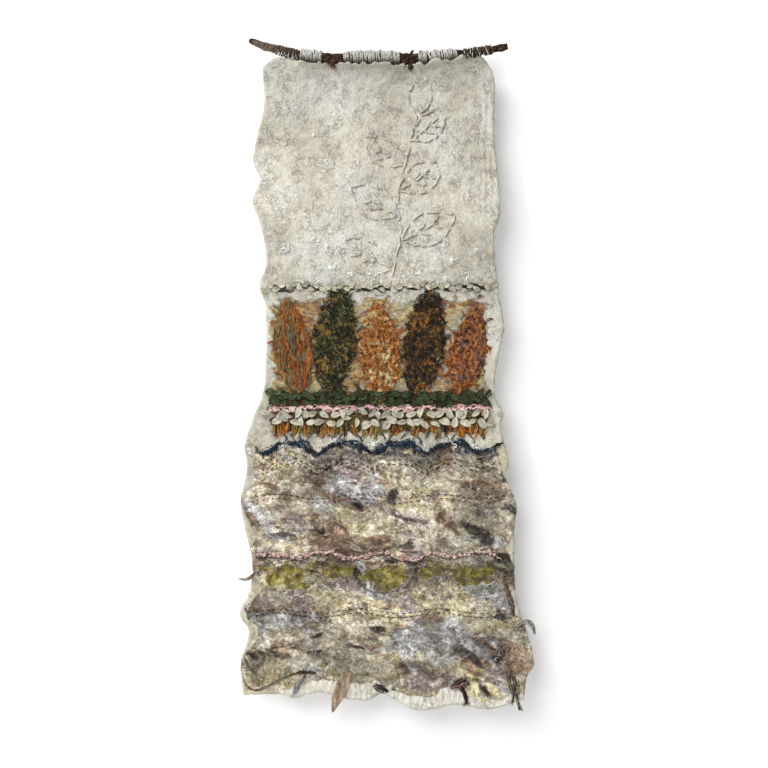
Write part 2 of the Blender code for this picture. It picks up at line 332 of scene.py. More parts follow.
def marl_top(along):
    """How far down the marled wool starts: a row of even scallops."""
    scallop = abs(np.sin(math.pi * (along + 0.010) / 0.074))
    return 0.537 - 0.015 * scallop + 0.003 * noise(along / 0.012, 0.2, 21)


def marl_cover(along, down):
    """1 where marled wool is felted over the cream, falling to 0 at its ragged ends."""
    below_top = (down - marl_top(along)) / 0.006
    hem = 0.017 + 0.015 * noise(along / 0.032, 0.4, 22) + 0.005 * noise(along / 0.007, 0.4, 23)
    above_hem = (follow(BOTTOM_EDGE, along)[..., 0] - down - hem) / 0.0025
    inset = 0.0005 + 0.020 * noise(down / 0.050, 0.7, 24) + 0.004 * noise(down / 0.010, 0.7, 25)
    inset = inset + 0.012 * smooth((down - 0.690) / 0.030)
    from_left = (along + follow(LEFT_EDGE, down)[..., 0] - inset) / 0.004
    inset = 0.0010 + 0.021 * noise(down / 0.055, 3.7, 26) + 0.004 * noise(down / 0.010, 3.7, 27)
    wider = 0.012 * smooth((down - 0.76) / 0.02)
    from_right = (follow(RIGHT_EDGE, down)[..., 0] - along - inset + wider) / 0.004
    return smooth(np.minimum.reduce([below_top, above_hem, from_left, from_right]))


def drift(along, down, size, seed):
    """Noise of about -2 to 2 in long swirling patches, as loose wool lies when it's laid by hand."""
    x = along + 0.030 * noise(along / 0.075, down / 0.055, seed + 1)
    z = down - 0.30 * along + 0.026 * noise(along / 0.070, down / 0.050, seed + 2)
    wide = noise(x / size, z / (0.46 * size), seed)
    return (0.72 * wide + 0.34 * noise(x / (0.38 * size), z / (0.20 * size), seed + 3)) / 0.29


def lumps(along, down):
    """The slow unevenness of the hand-felted front, outwards."""
    hand = 0.0011 * noise(along / 0.034, down / 0.044, 31)
    hand += 0.0007 * noise(along / 0.015, down / 0.019, 32)
    marled = 0.0009 + 0.0011 * noise(along / 0.022, down / 0.011, 33)
    return hand + marled * marl_cover(along, down)


def seams(x, y, seed, width):
    """1 along thin wandering lines, and 0 off them."""
    return np.exp(-(noise(x, y, seed) / width) ** 2)


def crimps(along, down):
    """The small wrinkles of shrunk wool, outwards."""
    bend = 0.004 * noise(along / 0.05, down / 0.05, 41)
    fine = 0.00046 * noise((along + bend) / 0.0050, down / 0.0064, 42)
    coarse = 0.00060 * noise((along - bend) / 0.0090, down / 0.0110, 43)
    broken = smooth(noise(along / 0.018, down / 0.022, 47) * 2 + 0.1)
    cut = -0.0005 * broken * seams((along + bend) / 0.022, down / 0.028, 48, 0.20)
    marled = marl_cover(along, down)
    rough = 0.0006 * noise(along / 0.0056, down / 0.0048, 44)
    rough -= 0.0010 * seams(along / 0.020, (down - 0.4 * along) / 0.011, 49, 0.16)
    out_right = smooth((along - 0.128) / 0.018)
    fluted = smooth((down - 0.015) / 0.02) * smooth((0.245 - down) / 0.05) * out_right
    ridges = 0.0008 * np.sin((along + bend) / 0.00125 + 2.0 * noise(along / 0.02, down / 0.03, 45))
    out_left = smooth((-0.118 - along) / 0.020)
    pleated = smooth((down - 0.205) / 0.01) * smooth((0.262 - down) / 0.02) * out_left
    pleats = 0.0007 * np.sin(down / 0.00115 + 2.4 * noise(along / 0.018, down / 0.03, 46))
    rib_waves = np.sin(along / 0.00118 + 3.0 * noise(along / 0.03, down / 0.05, 50))
    ribs = 0.0007 * hem_share(along, down) * rib_waves
    return fine + coarse + cut + marled * rough + fluted * ridges + pleated * pleats + ribs


def hem_share(along, down):
    """1 in the ribbed band along the hem, and 0 above it."""
    return smooth((down - follow(BOTTOM_EDGE, along)[..., 0] + 0.048) / 0.018)


def front(along, down, forward):
    """Points this far in front of the panel's front."""
    along, down = np.asarray(along, float), np.asarray(down, float)
    y = drape(along, down) - FELT_THICK / 2 - lumps(along, down) - crimps(along, down) - forward
    return np.stack(np.broadcast_arrays(along, y, -down), axis=-1)


# ------------------------------------------------------------ meshes

def make_piece(name, points, groups, look, marks=None):
    """A mesh piece on the one body, from its points and groups of faces with like corners."""
    loops = np.concatenate([np.asarray(group).ravel() for group in groups])
    sizes = np.concatenate([np.full(len(group), np.shape(group)[1]) for group in groups])
    mesh = bpy.data.meshes.new(name)
    mesh.vertices.add(len(points))
    mesh.vertices.foreach_set("co", np.asarray(points, np.float32).ravel())
    mesh.loops.add(len(loops))
    mesh.loops.foreach_set("vertex_index", loops.astype(np.int32))
    mesh.polygons.add(len(sizes))
    starts = np.concatenate([[0], np.cumsum(sizes)[:-1]])
    mesh.polygons.foreach_set("loop_start", starts.astype(np.int32))
    mesh.update(calc_edges=True)
    mesh.shade_smooth()
    for mark, values in (marks or {}).items():
        layer = mesh.attributes.new(mark, "FLOAT", "POINT")
        layer.data.foreach_set("value", np.asarray(values, np.float32).ravel())
    mesh.materials.append(look)
    piece = bpy.data.objects.new(name, mesh)
    bpy.context.scene.collection.objects.link(piece)
    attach(piece, "root")
    return piece


def sheet_points(front_grid, back_grid):
    """Points and faces of a closed cloth. The back grid has half the front's cells each way."""
    ahead = np.arange(front_grid[..., 0].size).reshape(front_grid.shape[:2])
    behind = ahead.size + np.arange(back_grid[..., 0].size).reshape(back_grid.shape[:2])

    def cells(grid):
        corners = (grid[:-1, :-1], grid[1:, :-1], grid[1:, 1:], grid[:-1, 1:])
        return np.stack([corner.ravel() for corner in corners], axis=1)

    def ring(grid):
        return np.concatenate([grid[0, :-1], grid[:-1, -1], grid[-1, :0:-1], grid[:0:-1, 0]])

    fine, coarse = ring(ahead), ring(behind)
    a, m, c = fine[0::2], fine[1::2], np.roll(fine[0::2], -1)
    p, q = coarse, np.roll(coarse, -1)
    rim = np.concatenate([np.stack(t, axis=1) for t in ((a, m, p), (m, q, p), (m, c, q))])
    points = np.concatenate([front_grid.reshape(-1, 3), back_grid.reshape(-1, 3)])
    return points, [cells(ahead), cells(behind)[:, ::-1], rim]


def spaced(cells, size, finest=0.0006):
    """0 to 1 in even steps over a size in metres, with finer steps at both ends."""
    lead = np.cumsum([0, 1.0, 1.5, 2.0]) * finest / size
    middle = np.linspace(lead[-1], 1 - lead[-1], cells - 5)
    return np.concatenate([lead[:-1], middle, 1 - lead[-2::-1]])


class Strands:
    """Many thin tubes, each with its own tone, joined into one mesh."""

    def __init__(self, sides):
        self.sides, self.count = sides, 0
        self.points, self.quads, self.caps, self.tones, self.stains = [], [], [], [], []

    def add(self, lines, radii, tones, stains=0.0):
        """Adds tubes round these lines of points. Radii, tones and darkening towards brown, which serves as
        stain and as painted shade, are one for each, or for all.
        """
        lines = np.asarray(lines, float)
        many, length = lines.shape[:2]
        radii = np.broadcast_to(np.asarray(radii, float), (many, length))
        along = unit(np.gradient(lines, axis=1))
        aside = np.cross(along[:, 0], (0.31, 1.0, 0.17))
        asides = np.empty_like(lines)
        for k in range(length):
            aside = unit(aside - (aside * along[:, k]).sum(1, keepdims=True) * along[:, k])
            asides[:, k] = aside
        across = np.cross(along, asides)
        turn = np.arange(self.sides) * 2 * np.pi / self.sides
        rim = np.cos(turn)[:, None] * asides[:, :, None] + np.sin(turn)[:, None] * across[:, :, None]
        rings = lines[:, :, None] + radii[:, :, None, None] * rim
        index = self.count + np.arange(many * length * self.sides)
        index = index.reshape(many, length, self.sides)
        after = np.roll(index, -1, axis=2)
        quads = (index[:, :-1], after[:, :-1], after[:, 1:], index[:, 1:])
        self.quads.append(np.stack([corner.ravel() for corner in quads], axis=1))
        self.caps += [index[:, 0, ::-1], index[:, -1]]
        self.points.append(rings.reshape(-1, 3))
        tones = np.broadcast_to(np.asarray(tones, float).reshape(-1, 1), (many, length))
        self.tones.append(np.repeat(tones.ravel(), self.sides))
        self.stains.append(np.repeat(np.broadcast_to(stains, (many, length)).ravel(), self.sides))
        self.count += many * length * self.sides

    def piece(self, name, look):
        """All the tubes so far as one mesh piece."""
        groups = [np.concatenate(self.quads), np.concatenate(self.caps)]
        marks = {"tone": np.concatenate(self.tones), "stain_and_shade": np.concatenate(self.stains)}
        return make_piece(name, np.concatenate(self.points), groups, look, marks)


# ------------------------------------------------------------ materials

class Look:
    """A procedural material, put together node by node in the object's own metres."""

    def __init__(self, name, roughness=0.95, sheen=0.04):
        self.material = bpy.data.materials.new(name)
        self.material.use_nodes = True
        self.nodes, self.links = self.material.node_tree.nodes, self.material.node_tree.links
        self.shader = self.nodes["Principled BSDF"]
        self.shader.inputs["Roughness"].default_value = roughness
        self.shader.inputs["Sheen Weight"].default_value = sheen
        self.shader.inputs["Sheen Roughness"].default_value = 0.6
        self.shader.inputs["Specular IOR Level"].default_value = 0.1
        self.place = self.nodes.new("ShaderNodeTexCoord").outputs["Object"]

    def node(self, kind, inputs, **settings):
        """A new node, its inputs set to values or linked to sockets."""
        made = self.nodes.new("ShaderNode" + kind)
        for key, value in settings.items():
            setattr(made, key, value)
        for key, value in inputs.items():
            if isinstance(value, bpy.types.NodeSocket):
                self.links.new(value, made.inputs[key])
            else:
                made.inputs[key].default_value = value
        return made

    def noise(self, size, detail, rough=0.55, stretch=(1, 1, 1), shift=0.0, warp=0.0):
        """Grey noise whose grain is about this size in metres, longer along the stretched axes."""
        scale = tuple(1 / (size * s) for s in stretch)
        inputs = {"Vector": self.place, "Location": (shift, shift, shift), "Scale": scale}
        moved = self.node("Mapping", inputs).outputs[0]
        inputs = {"Vector": moved, "Scale": 1.0, "Detail": detail, "Roughness": rough, "Distortion": warp}
        return self.node("TexNoise", inputs).outputs["Fac"]

    def swirl(self, size, reach):
        """From here on, noises are pushed about by slow noise, so that their grain turns."""
        scale = (1 / size,) * 3
        moved = self.node("Mapping", {"Vector": self.place, "Scale": scale}).outputs[0]
        slow = self.node("TexNoise", {"Vector": moved, "Scale": 1.0, "Detail": 2.0}).outputs["Color"]
        inputs = {0: slow, 1: (reach,) * 3, 2: self.place}
        self.place = self.node("VectorMath", inputs, operation="MULTIPLY_ADD").outputs[0]

    def seams(self, size, width, stretch, shift, warp=0.6):
        """1 along thin wandering lines about this far apart, and 0 off them."""
        off = self.math("ABSOLUTE", self.minus(self.noise(size, 2.0, 0.5, stretch, shift, warp), 0.5))
        return self.span(off, 0.0, width, 1.0, 0.0)

    def mark(self, name):
        """The mark of this name that the mesh carries."""
        return self.node("Attribute", {}, attribute_name=name).outputs["Fac"]

    def math(self, operation, a, b=0.0):
        return self.node("Math", {0: a, 1: b}, operation=operation).outputs[0]

    def times(self, a, b):
        return self.math("MULTIPLY", a, b)

    def plus(self, a, b):
        return self.math("ADD", a, b)

    def minus(self, a, b):
        return self.math("SUBTRACT", a, b)

    def most(self, a, b):
        return self.math("MAXIMUM", a, b)

    def span(self, value, low, high, to_low=0.0, to_high=1.0):
        """The value's rise from low to high, eased and clamped."""
        names = ("From Min", "From Max", "To Min", "To Max")
        inputs = {"Value": value, **dict(zip(names, (low, high, to_low, to_high)))}
        return self.node("MapRange", inputs, interpolation_type="SMOOTHSTEP").outputs[0]

    def ramp(self, value, stops, steps=False):
        """The colour that goes with a value, from stops of (value, colour)."""
        made = self.node("ValToRGB", {"Fac": value})
        ramp = made.color_ramp
        ramp.interpolation = "CONSTANT" if steps else "LINEAR"
        for k, (at, colour) in enumerate(stops):
            stop = ramp.elements[k] if k < 2 else ramp.elements.new(at)
            stop.position = at
            stop.color = (*colour, 1.0)
        return made.outputs["Color"]

    def blend(self, factor, a, b, kind="MIX"):
        """Colour a where the factor is 0 and colour b where it is 1."""
        made = self.node("Mix", {}, data_type="RGBA", blend_type=kind)
        for socket, value in ((made.inputs[0], factor), (made.inputs[6], a), (made.inputs[7], b)):
            if isinstance(value, bpy.types.NodeSocket):
                self.links.new(value, socket)
            elif socket.type == "RGBA":
                socket.default_value = (*value, 1.0)
            else:
                socket.default_value = value
        return made.outputs[2]

    def shade(self, colour, value, low, high, first=0.25, last=0.75):
        """The colour times a grey that goes from low to high with the value."""
        grey = self.ramp(value, ((first, (low,) * 3), (last, (high,) * 3)))
        return self.blend(1.0, colour, grey, "MULTIPLY")

    def finish(self, colour, height=None, strength=0.6, distance=0.001):
        """The material, with this colour and a bump of this height."""
        self.links.new(colour, self.shader.inputs["Base Color"])
        if height is not None:
            inputs = {"Height": height, "Strength": strength, "Distance": distance}
            bump = self.node("Bump", inputs)
            self.links.new(bump.outputs[0], self.shader.inputs["Normal"])
        return self.material


def cream_wool(look, crimp, crumple):
    """Cream wool with faint smudges, pale areas and specks of leaf, painted shade towards the top, and
    painted shade and highlight from its crimps and crumples.
    """
    colour = look.ramp(look.noise(0.070, 4, 0.6, shift=1.0), (
        (0.36, (0.535, 0.502, 0.408)), (0.50, (0.618, 0.591, 0.494)), (0.62, (0.645, 0.635, 0.580)),
    ))
    smudge = look.span(look.noise(0.022, 6, 0.75, (1.4, 1, 1), 5.0, 0.8), 0.54, 0.76, 0.0, 0.17)
    colour = look.blend(smudge, colour, (0.40, 0.355, 0.290))
    pale = look.span(look.noise(0.034, 5, 0.7, (1, 1, 1.3), 15.0, 0.5), 0.52, 0.70, 0.0, 0.4)
    colour = look.blend(pale, colour, (0.66, 0.67, 0.64))
    # painted shade: darker towards the top, under the branch and its windings
    colour = look.blend(look.times(look.mark("top_shade"), 0.42), colour, (0.37, 0.362, 0.315))
    speck = look.span(look.noise(0.0024, 2, 0.5, shift=9.0), 0.720, 0.770, 0.0, 0.6)
    colour = look.blend(speck, colour, (0.14, 0.11, 0.08))
    # painted shade and highlight: the colour follows the crimp and crumple noises that also make the bump
    colour = look.shade(colour, crimp, 0.76, 1.16)
    colour = look.shade(colour, crumple, 0.90, 1.09, 0.32, 0.68)
    return look.shade(colour, look.noise(0.110, 2, 0.5, shift=73.0), 0.93, 1.07, 0.38, 0.62)


def patch_share(look, name, ragged, reach, low, high):
    """How much of a patch of wool shows: its mark with ragged sides, and none where the mark is 0."""
    share = look.span(look.plus(look.mark(name), look.times(ragged, reach)), low, high)
    return look.times(share, look.span(look.mark(name), 0.0, 0.12))


def washed_wool(look, crinkle):
    """Straw, peach and rust wool behind the leaves, with painted shade and highlight from its crinkle."""
    colour = look.ramp(look.noise(0.020, 6, 0.72, (2.0, 1, 1), 11.0, 0.8), (
        (0.41, (0.66, 0.57, 0.32)), (0.48, (0.58, 0.44, 0.20)), (0.53, (0.40, 0.19, 0.060)),
        (0.60, (0.20, 0.075, 0.024)), (0.66, (0.06, 0.035, 0.022)),
    ))
    # painted shade and highlight: the crinkle also makes the bump
    return look.shade(colour, crinkle, 0.55, 1.32, 0.32, 0.68)


def ground_wool(look, crinkle):
    """Brown, ochre and black wool under the rows of petals and scraps, with painted shade and highlight from
    its crinkle.
    """
    colour = look.ramp(look.noise(0.0090, 6, 0.75, (1.6, 1, 1), 19.0, 0.6), (
        (0.38, (0.014, 0.013, 0.010)), (0.50, (0.060, 0.040, 0.018)),
        (0.57, (0.24, 0.125, 0.030)), (0.66, (0.46, 0.30, 0.10)),
    ))
    # painted shade and highlight: the crinkle also makes the bump
    return look.shade(colour, crinkle, 0.55, 1.40, 0.32, 0.68)


MARL_COLOURS = (  # mark, where its drift starts and is full, its share, dark, light
    ("gold", 0.20, 0.85, 0.92, (0.54, 0.45, 0.225), (0.85, 0.79, 0.570)),
    ("warm", 0.25, 1.05, 0.90, (0.130, 0.066, 0.038), (0.50, 0.330, 0.215)),
    ("plum", 0.55, 1.25, 0.88, (0.170, 0.125, 0.118), (0.58, 0.480, 0.455)),
    ("cool", 0.55, 1.25, 0.88, (0.32, 0.318, 0.310), (0.88, 0.87, 0.85)),
    ("dusk", 0.75, 1.75, 0.97, (0.012, 0.010, 0.010), (0.095, 0.074, 0.062)),
)


def marled_wool(look, fine, crinkle, grain, edge, wrinkles):
    """The lower field: drifts of five colours, pale flecks and mustard patches, with painted shade and
    highlight from its crinkle and grain, and painted shade along its wrinkles.
    """
    colour = look.ramp(fine, (
        (0.36, (0.235, 0.190, 0.120)), (0.45, (0.45, 0.375, 0.260)),
        (0.53, (0.68, 0.61, 0.455)), (0.62, (0.84, 0.80, 0.680)),
    ))
    for name, low, high, share, dark, light in MARL_COLOURS:
        patch = look.span(look.plus(look.mark(name), edge), low, high, 0.0, share)
        colour = look.blend(patch, colour, look.ramp(fine, ((0.42, dark), (0.60, light))))
    flecks = look.span(look.noise(0.0040, 5, 0.75, (1.5, 1, 1), 61.0, 1.2), 0.55, 0.64, 0.0, 0.85)
    flecks = look.times(flecks, look.span(look.noise(0.040, 4, 0.6, shift=63.0), 0.46, 0.60))
    colour = look.blend(flecks, colour, (0.74, 0.73, 0.68))
    # painted shade and highlight: crinkle and grain also make the bump
    colour = look.shade(colour, crinkle, 0.50, 1.60, 0.32, 0.68)
    colour = look.shade(colour, grain, 0.74, 1.28, 0.32, 0.68)
    ovals = look.span(look.plus(look.mark("oval"), look.times(edge, 0.45)), 0.35, 0.90)
    mustard = look.ramp(look.noise(0.0090, 5, 0.70, (1, 1, 1), 41.0), (
        (0.38, (0.085, 0.062, 0.010)), (0.48, (0.27, 0.215, 0.028)),
        (0.55, (0.43, 0.36, 0.070)), (0.64, (0.68, 0.61, 0.30)),
    ))
    # painted shade and highlight from the crinkle
    mustard = look.shade(mustard, crinkle, 0.62, 1.30, 0.32, 0.68)
    colour = look.blend(look.times(ovals, 0.94), colour, mustard)
    slow = look.noise(0.060, 3, 0.55, (1.5, 1, 1), 71.0, 0.5)
    colour = look.shade(colour, slow, 0.68, 1.46, 0.36, 0.64)
    # painted shade in the wrinkles, which the bump lowers
    return look.blend(wrinkles, colour, (0.070, 0.052, 0.032))


def felt_look():
    """The panel's wool. The marks that make_felt puts on the mesh say where each kind lies."""
    look = Look("felt_wool")
    crimp = look.noise(0.0021, 2, 0.6, (1, 1, 1.15), 3.0)
    grain = look.noise(0.0046, 3, 0.65, (1.2, 1, 1), 7.0)
    crumple = look.noise(0.0085, 3, 0.60, (1.3, 1, 1), 37.0, 0.4)
    short = look.seams(0.0060, 0.060, (1, 1, 1.15), 2.0, 0.9)
    creases = look.times(short, look.span(look.noise(0.020, 3, shift=6.0), 0.44, 0.62))
    look.swirl(0.080, 0.030)

    crinkle = look.noise(0.0040, 4, 0.68, (1.25, 1, 1), 25.0, 1.3)
    ragged = look.minus(look.noise(0.011, 6, 0.75, (1.8, 1, 1), 2.0), 0.5)
    wash = patch_share(look, "wash", ragged, 4.5, 0.45, 0.95)
    ground = patch_share(look, "ground", ragged, 2.6, 0.42, 0.72)
    cream = cream_wool(look, crimp, crumple)
    cream = look.blend(look.times(wash, 0.94), cream, washed_wool(look, crinkle))
    cream = look.blend(look.times(ground, 0.95), cream, ground_wool(look, crinkle))
    straw = look.ramp(grain, ((0.36, (0.36, 0.29, 0.17)), (0.60, (0.64, 0.57, 0.39))))
    cream = look.blend(look.mark("straw"), cream, straw)
    ribs = look.noise(0.0030, 2, 0.5, (1, 1, 9.0), 33.0)
    hem = look.ramp(grain, ((0.36, (0.70, 0.67, 0.57)), (0.60, (0.90, 0.88, 0.79))))
    # painted shade between the ribs, which the bump also raises
    hem = look.shade(hem, ribs, 0.82, 1.10)
    cream = look.blend(look.times(look.mark("rib"), 0.75), cream, hem)

    fine = look.noise(0.0120, 6, 0.76, (1.5, 1, 1), 13.0, 0.6)
    edge = look.times(look.minus(look.noise(0.012, 6, 0.78, (1.7, 1, 1), 17.0, 1.0), 0.5), 3.6)
    # lines of painted shade for the marled field's wrinkles, also lowered in the bump
    long = look.seams(0.0085, 0.042, (1.3, 1, 1), 81.0, 1.2)
    fainter = look.seams(0.0050, 0.055, (1.2, 1, 1), 85.0, 1.0)
    broken = look.span(look.noise(0.026, 4, 0.65, shift=83.0), 0.46, 0.62, 0.05, 0.85)
    wrinkles = look.times(look.most(long, look.times(fainter, 0.6)), broken)
    marl = marled_wool(look, fine, crinkle, grain, edge, wrinkles)
    torn = look.minus(look.noise(0.006, 5, 0.7, (1.5, 1, 1), 43.0), 0.5)
    cover = look.span(look.plus(look.mark("marl"), look.times(torn, 1.4)), 0.40, 0.62)
    colour = look.blend(cover, cream, marl)
    # painted shade along the creases, which the bump also lowers
    crease_shade = look.times(creases, look.span(cover, 0.0, 1.0, 0.17, 0.40))
    colour = look.blend(crease_shade, colour, (0.20, 0.170, 0.135))
    stained = look.span(look.plus(look.mark("tan"), look.times(edge, 0.25)), 0.25, 0.85, 0.0, 0.85)
    tan = look.ramp(fine, (
        (0.38, (0.36, 0.275, 0.145)), (0.50, (0.62, 0.53, 0.33)), (0.60, (0.82, 0.77, 0.60)),
    ))
    colour = look.blend(stained, colour, tan)
    colour = look.blend(look.times(look.mark("rim"), 0.4), colour, (0.60, 0.575, 0.45))
    # painted shade in the hollows and at the rounded edge, from the crease mark
    colour = look.blend(look.mark("crease"), colour, (0.17, 0.155, 0.12))

    rough = look.most(cover, look.most(wash, ground))
    height = look.plus(crimp, look.times(grain, 0.7))
    height = look.plus(height, look.times(crumple, 1.3))
    height = look.minus(height, look.times(creases, 0.9))
    height = look.plus(height, look.times(look.times(crinkle, rough), 2.2))
    height = look.plus(height, look.times(look.times(look.mark("rib"), ribs), 1.6))
    height = look.minus(height, look.times(look.times(wrinkles, cover), 1.2))
    return look.finish(colour, height, 0.9, 0.0018)


def wool_look(name, low, high):
    """Loose wool, yarn and thread: a mark on each strand picks its colour, shaded from low to high."""
    look = Look(name)
    count = len(WOOLS)
    stops = [(k / count, colour) for k, colour in enumerate(WOOLS.values())]
    colour = look.ramp(look.mark("tone"), stops, steps=True)
    colour = look.shade(colour, look.noise(0.0035, 4, 0.7, shift=2.0), low, high, 0.32, 0.68)
    # this mark darkens the strand towards brown: painted shade on the windings' undersides, and stain on the
    # threads
    colour = look.blend(look.mark("stain_and_shade"), colour, (0.080, 0.058, 0.042))
    return look.finish(colour, look.noise(0.0007, 3, 0.6), 0.6, 0.0004)


def leaf_look(name, dark, middle, light, accent, run):
    """Felted fibres in three depths of one colour, and an accent, with painted shade and highlight from the
    crinkle and painted shade in the hollows. They run up the leaf by this much.
    """
    look = Look(name)
    look.swirl(0.030, 0.010)
    streak = look.noise(0.0042, 6, 0.74, (1, 1, run), 3.0, 0.7)
    patch = look.noise(0.015, 5, 0.7, (1.3, 1, 1), 8.0, 0.6)
    colour = look.ramp(streak, ((0.37, dark), (0.50, middle), (0.63, light)))
    accents = look.ramp(streak, ((0.38, tuple(0.45 * c for c in accent)), (0.60, accent)))
    colour = look.blend(look.span(patch, 0.51, 0.60, 0.0, 0.92), colour, accents)
    crinkle = look.noise(0.0034, 5, 0.72, (1, 1, 1.2), 5.0, 1.0)
    # painted shade and highlight: the crinkle also makes the bump
    colour = look.shade(colour, crinkle, 0.22, 2.00, 0.32, 0.68)
    # painted shade in the hollows of the streaks, knots and veins
    colour = look.blend(look.times(look.mark("crease"), 0.80), colour, tuple(0.3 * c for c in dark))
    return look.finish(colour, crinkle, 0.9, 0.0022)


def petal_look(name, low, high):
    """Stiff pale cloth, with painted shade along its rim and its middle fold, and some petals darker all
    over.
    """
    look = Look(name, 0.6, 0.3)
    colour = look.ramp(look.noise(0.006, 4, 0.6), ((0.32, low), (0.60, high)))
    colour = look.shade(colour, look.noise(0.0016, 3, 0.6, (1, 1, 1), 4.0), 0.80, 1.10)
    # painted shade along the rim and the middle fold, from the rim mark
    colour = look.blend(look.mark("rim"), colour, (0.10, 0.085, 0.055))
    return look.finish(colour, look.noise(0.0012, 3, 0.6), 0.5, 0.0005)


def scrap_look(name, low, high):
    """Thin felt between two colours, with painted shade, nearly black, along its rim."""
    look = Look(name)
    colour = look.ramp(look.noise(0.006, 5, 0.7, (1, 1, 2.5)), ((0.34, low), (0.62, high)))
    colour = look.shade(colour, look.noise(0.0016, 4, 0.65, (1, 1, 2.0), 4.0), 0.7, 1.25)
    # painted shade in the gaps between overlapping scraps, from the rim mark
    colour = look.blend(look.mark("rim"), colour, (0.004, 0.006, 0.003))
    return look.finish(colour, look.noise(0.0012, 3, 0.6, (1, 1, 2.5)), 0.6, 0.0007)


def bark_look():
    """Dark bark with fine cracks, paler patches, lichen and raw wood where it is cut."""
    look = Look("twig_bark", 0.85, 0.0)
    fine = look.noise(0.0017, 5, 0.7, (3.0, 1, 1))
    cracks = look.seams(0.0040, 0.040, (0.5, 1, 1), 4.0)
    patch = look.noise(0.010, 5, 0.7, (1.6, 1, 1), 6.0)
    colour = look.ramp(fine, (
        (0.38, (0.005, 0.002, 0.002)), (0.50, (0.026, 0.012, 0.008)), (0.62, (0.150, 0.085, 0.058)),
    ))
    pale = look.span(patch, 0.50, 0.66, 0.0, 0.55)
    colour = look.blend(pale, colour, (0.140, 0.095, 0.066))
    lichen = look.times(look.mark("lichen"), look.span(look.noise(0.005, 5, 0.7, shift=3.0), 0.36, 0.58))
    colour = look.blend(look.times(lichen, 0.85), colour, (0.27, 0.220, 0.165))
    colour = look.blend(look.times(cracks, 0.75), colour, (0.006, 0.004, 0.003))
    colour = look.blend(look.mark("cut"), colour, (0.34, 0.24, 0.15))
    height = look.minus(fine, look.times(cracks, 0.6))
    return look.finish(colour, height, 0.9, 0.0014)


# ------------------------------------------------------------ the panel

FELT_CELLS = (164, 440)  # across and down, on its front
FELT_SIZE = (0.340, 0.870)  # its width and height, for even cells
EDGE_ROUND = 0.0026  # how far in from its edge the felt rounds off
EDGE_THICK = 0.0003  # half its thickness at the very edge
DRIFT_SIZES = {  # mark: the length of its drifts, and a seed
    "gold": (0.085, 531), "warm": (0.100, 501), "cool": (0.095, 521),
    "dusk": (0.052, 511), "plum": (0.080, 541),
}
MOTIF_STEM = ((0.300, 0.016), (0.245, 0.030), (0.185, 0.026), (0.125, 0.040), (0.078, 0.052))  # down, along
OVALS = (  # along, down, half its length, half its height
    (-0.124, 0.703, 0.036, 0.0180), (-0.058, 0.697, 0.024, 0.0125), (0.006, 0.705, 0.034, 0.0175),
    (0.067, 0.699, 0.023, 0.0120), (0.127, 0.704, 0.031, 0.0155),
)


def wash_at(along, down):
    """How strongly the dyed wash behind the leaves shows."""
    wander = 0.008 * noise(along / 0.022, 0.5, 51)
    band = smooth((down - 0.318 - wander) / 0.020) * smooth((0.508 - down + wander) / 0.016)
    inset = 0.006 * noise(down / 0.020, 0.5, 53)
    return band * smooth((along + 0.152 + inset) / 0.012) * smooth((0.150 - along + inset) / 0.012)


def oval_at(along, down):
    """How strongly the mustard patches show."""
    found = np.zeros(np.broadcast(along, down).shape)
    for x, z, half_long, half_high in OVALS:
        wobble = 0.50 * noise(along / 0.020, down / 0.014, 52) + 0.30 * noise(along / 0.008, down / 0.006, 56)
        far = np.hypot((along - x) / half_long, (down - z) / half_high) + wobble
        found = np.maximum(found, smooth((1.15 - far) / 0.45))
    return found


def ground_at(along, down):
    """How strongly the dark wool under the green scraps and under the petals shows."""
    wander = 0.0022 * noise(along / 0.012, 0.5, 57) + 0.0014 * noise(along / 0.005, 0.5, 58)
    scraps = smooth((down - 0.4510 - wander) / 0.003) * smooth((0.4725 - down + wander) / 0.003)
    petals = smooth((down - 0.4795 - wander) / 0.003) * smooth((0.5110 - down + 2 * wander) / 0.006)
    inset = 0.007 * noise(down / 0.0060, 0.5, 60)
    sides = smooth((along + 0.148 + inset) / 0.006) * smooth((0.146 - along + inset) / 0.006)
    return np.maximum(scraps, petals) * sides


def tan_share(along, down):
    """How strongly tan wool colours the low edges: above the hem, at the left corner and both sides."""
    over_hem = follow(BOTTOM_EDGE, along)[..., 0] - down
    band = smooth((over_hem - 0.020) / 0.006) * smooth((0.034 - over_hem) / 0.010)
    share = band * smooth((0.3 + noise(along / 0.035, 0.5, 54)) / 0.5) * 0.9
    corner = smooth((-0.128 - along) / 0.016) * smooth((down - 0.833) / 0.008)
    inner = smooth((along + 0.172) / 0.008) * smooth((0.860 - down) / 0.006)
    share = np.maximum(share, corner * (1 - 0.9 * inner))
    right = smooth((along - right_edge(down) + 0.024) / 0.008) * smooth((down - 0.775) / 0.012)
    share = np.maximum(share, 0.35 * right * smooth((0.862 - down) / 0.01))
    left = smooth((left_edge(down) + 0.010 - along) / 0.006) * smooth((down - 0.700) / 0.02)
    return np.maximum(share, 0.6 * left * smooth(0.5 + noise(down / 0.03, 0.5, 55)))


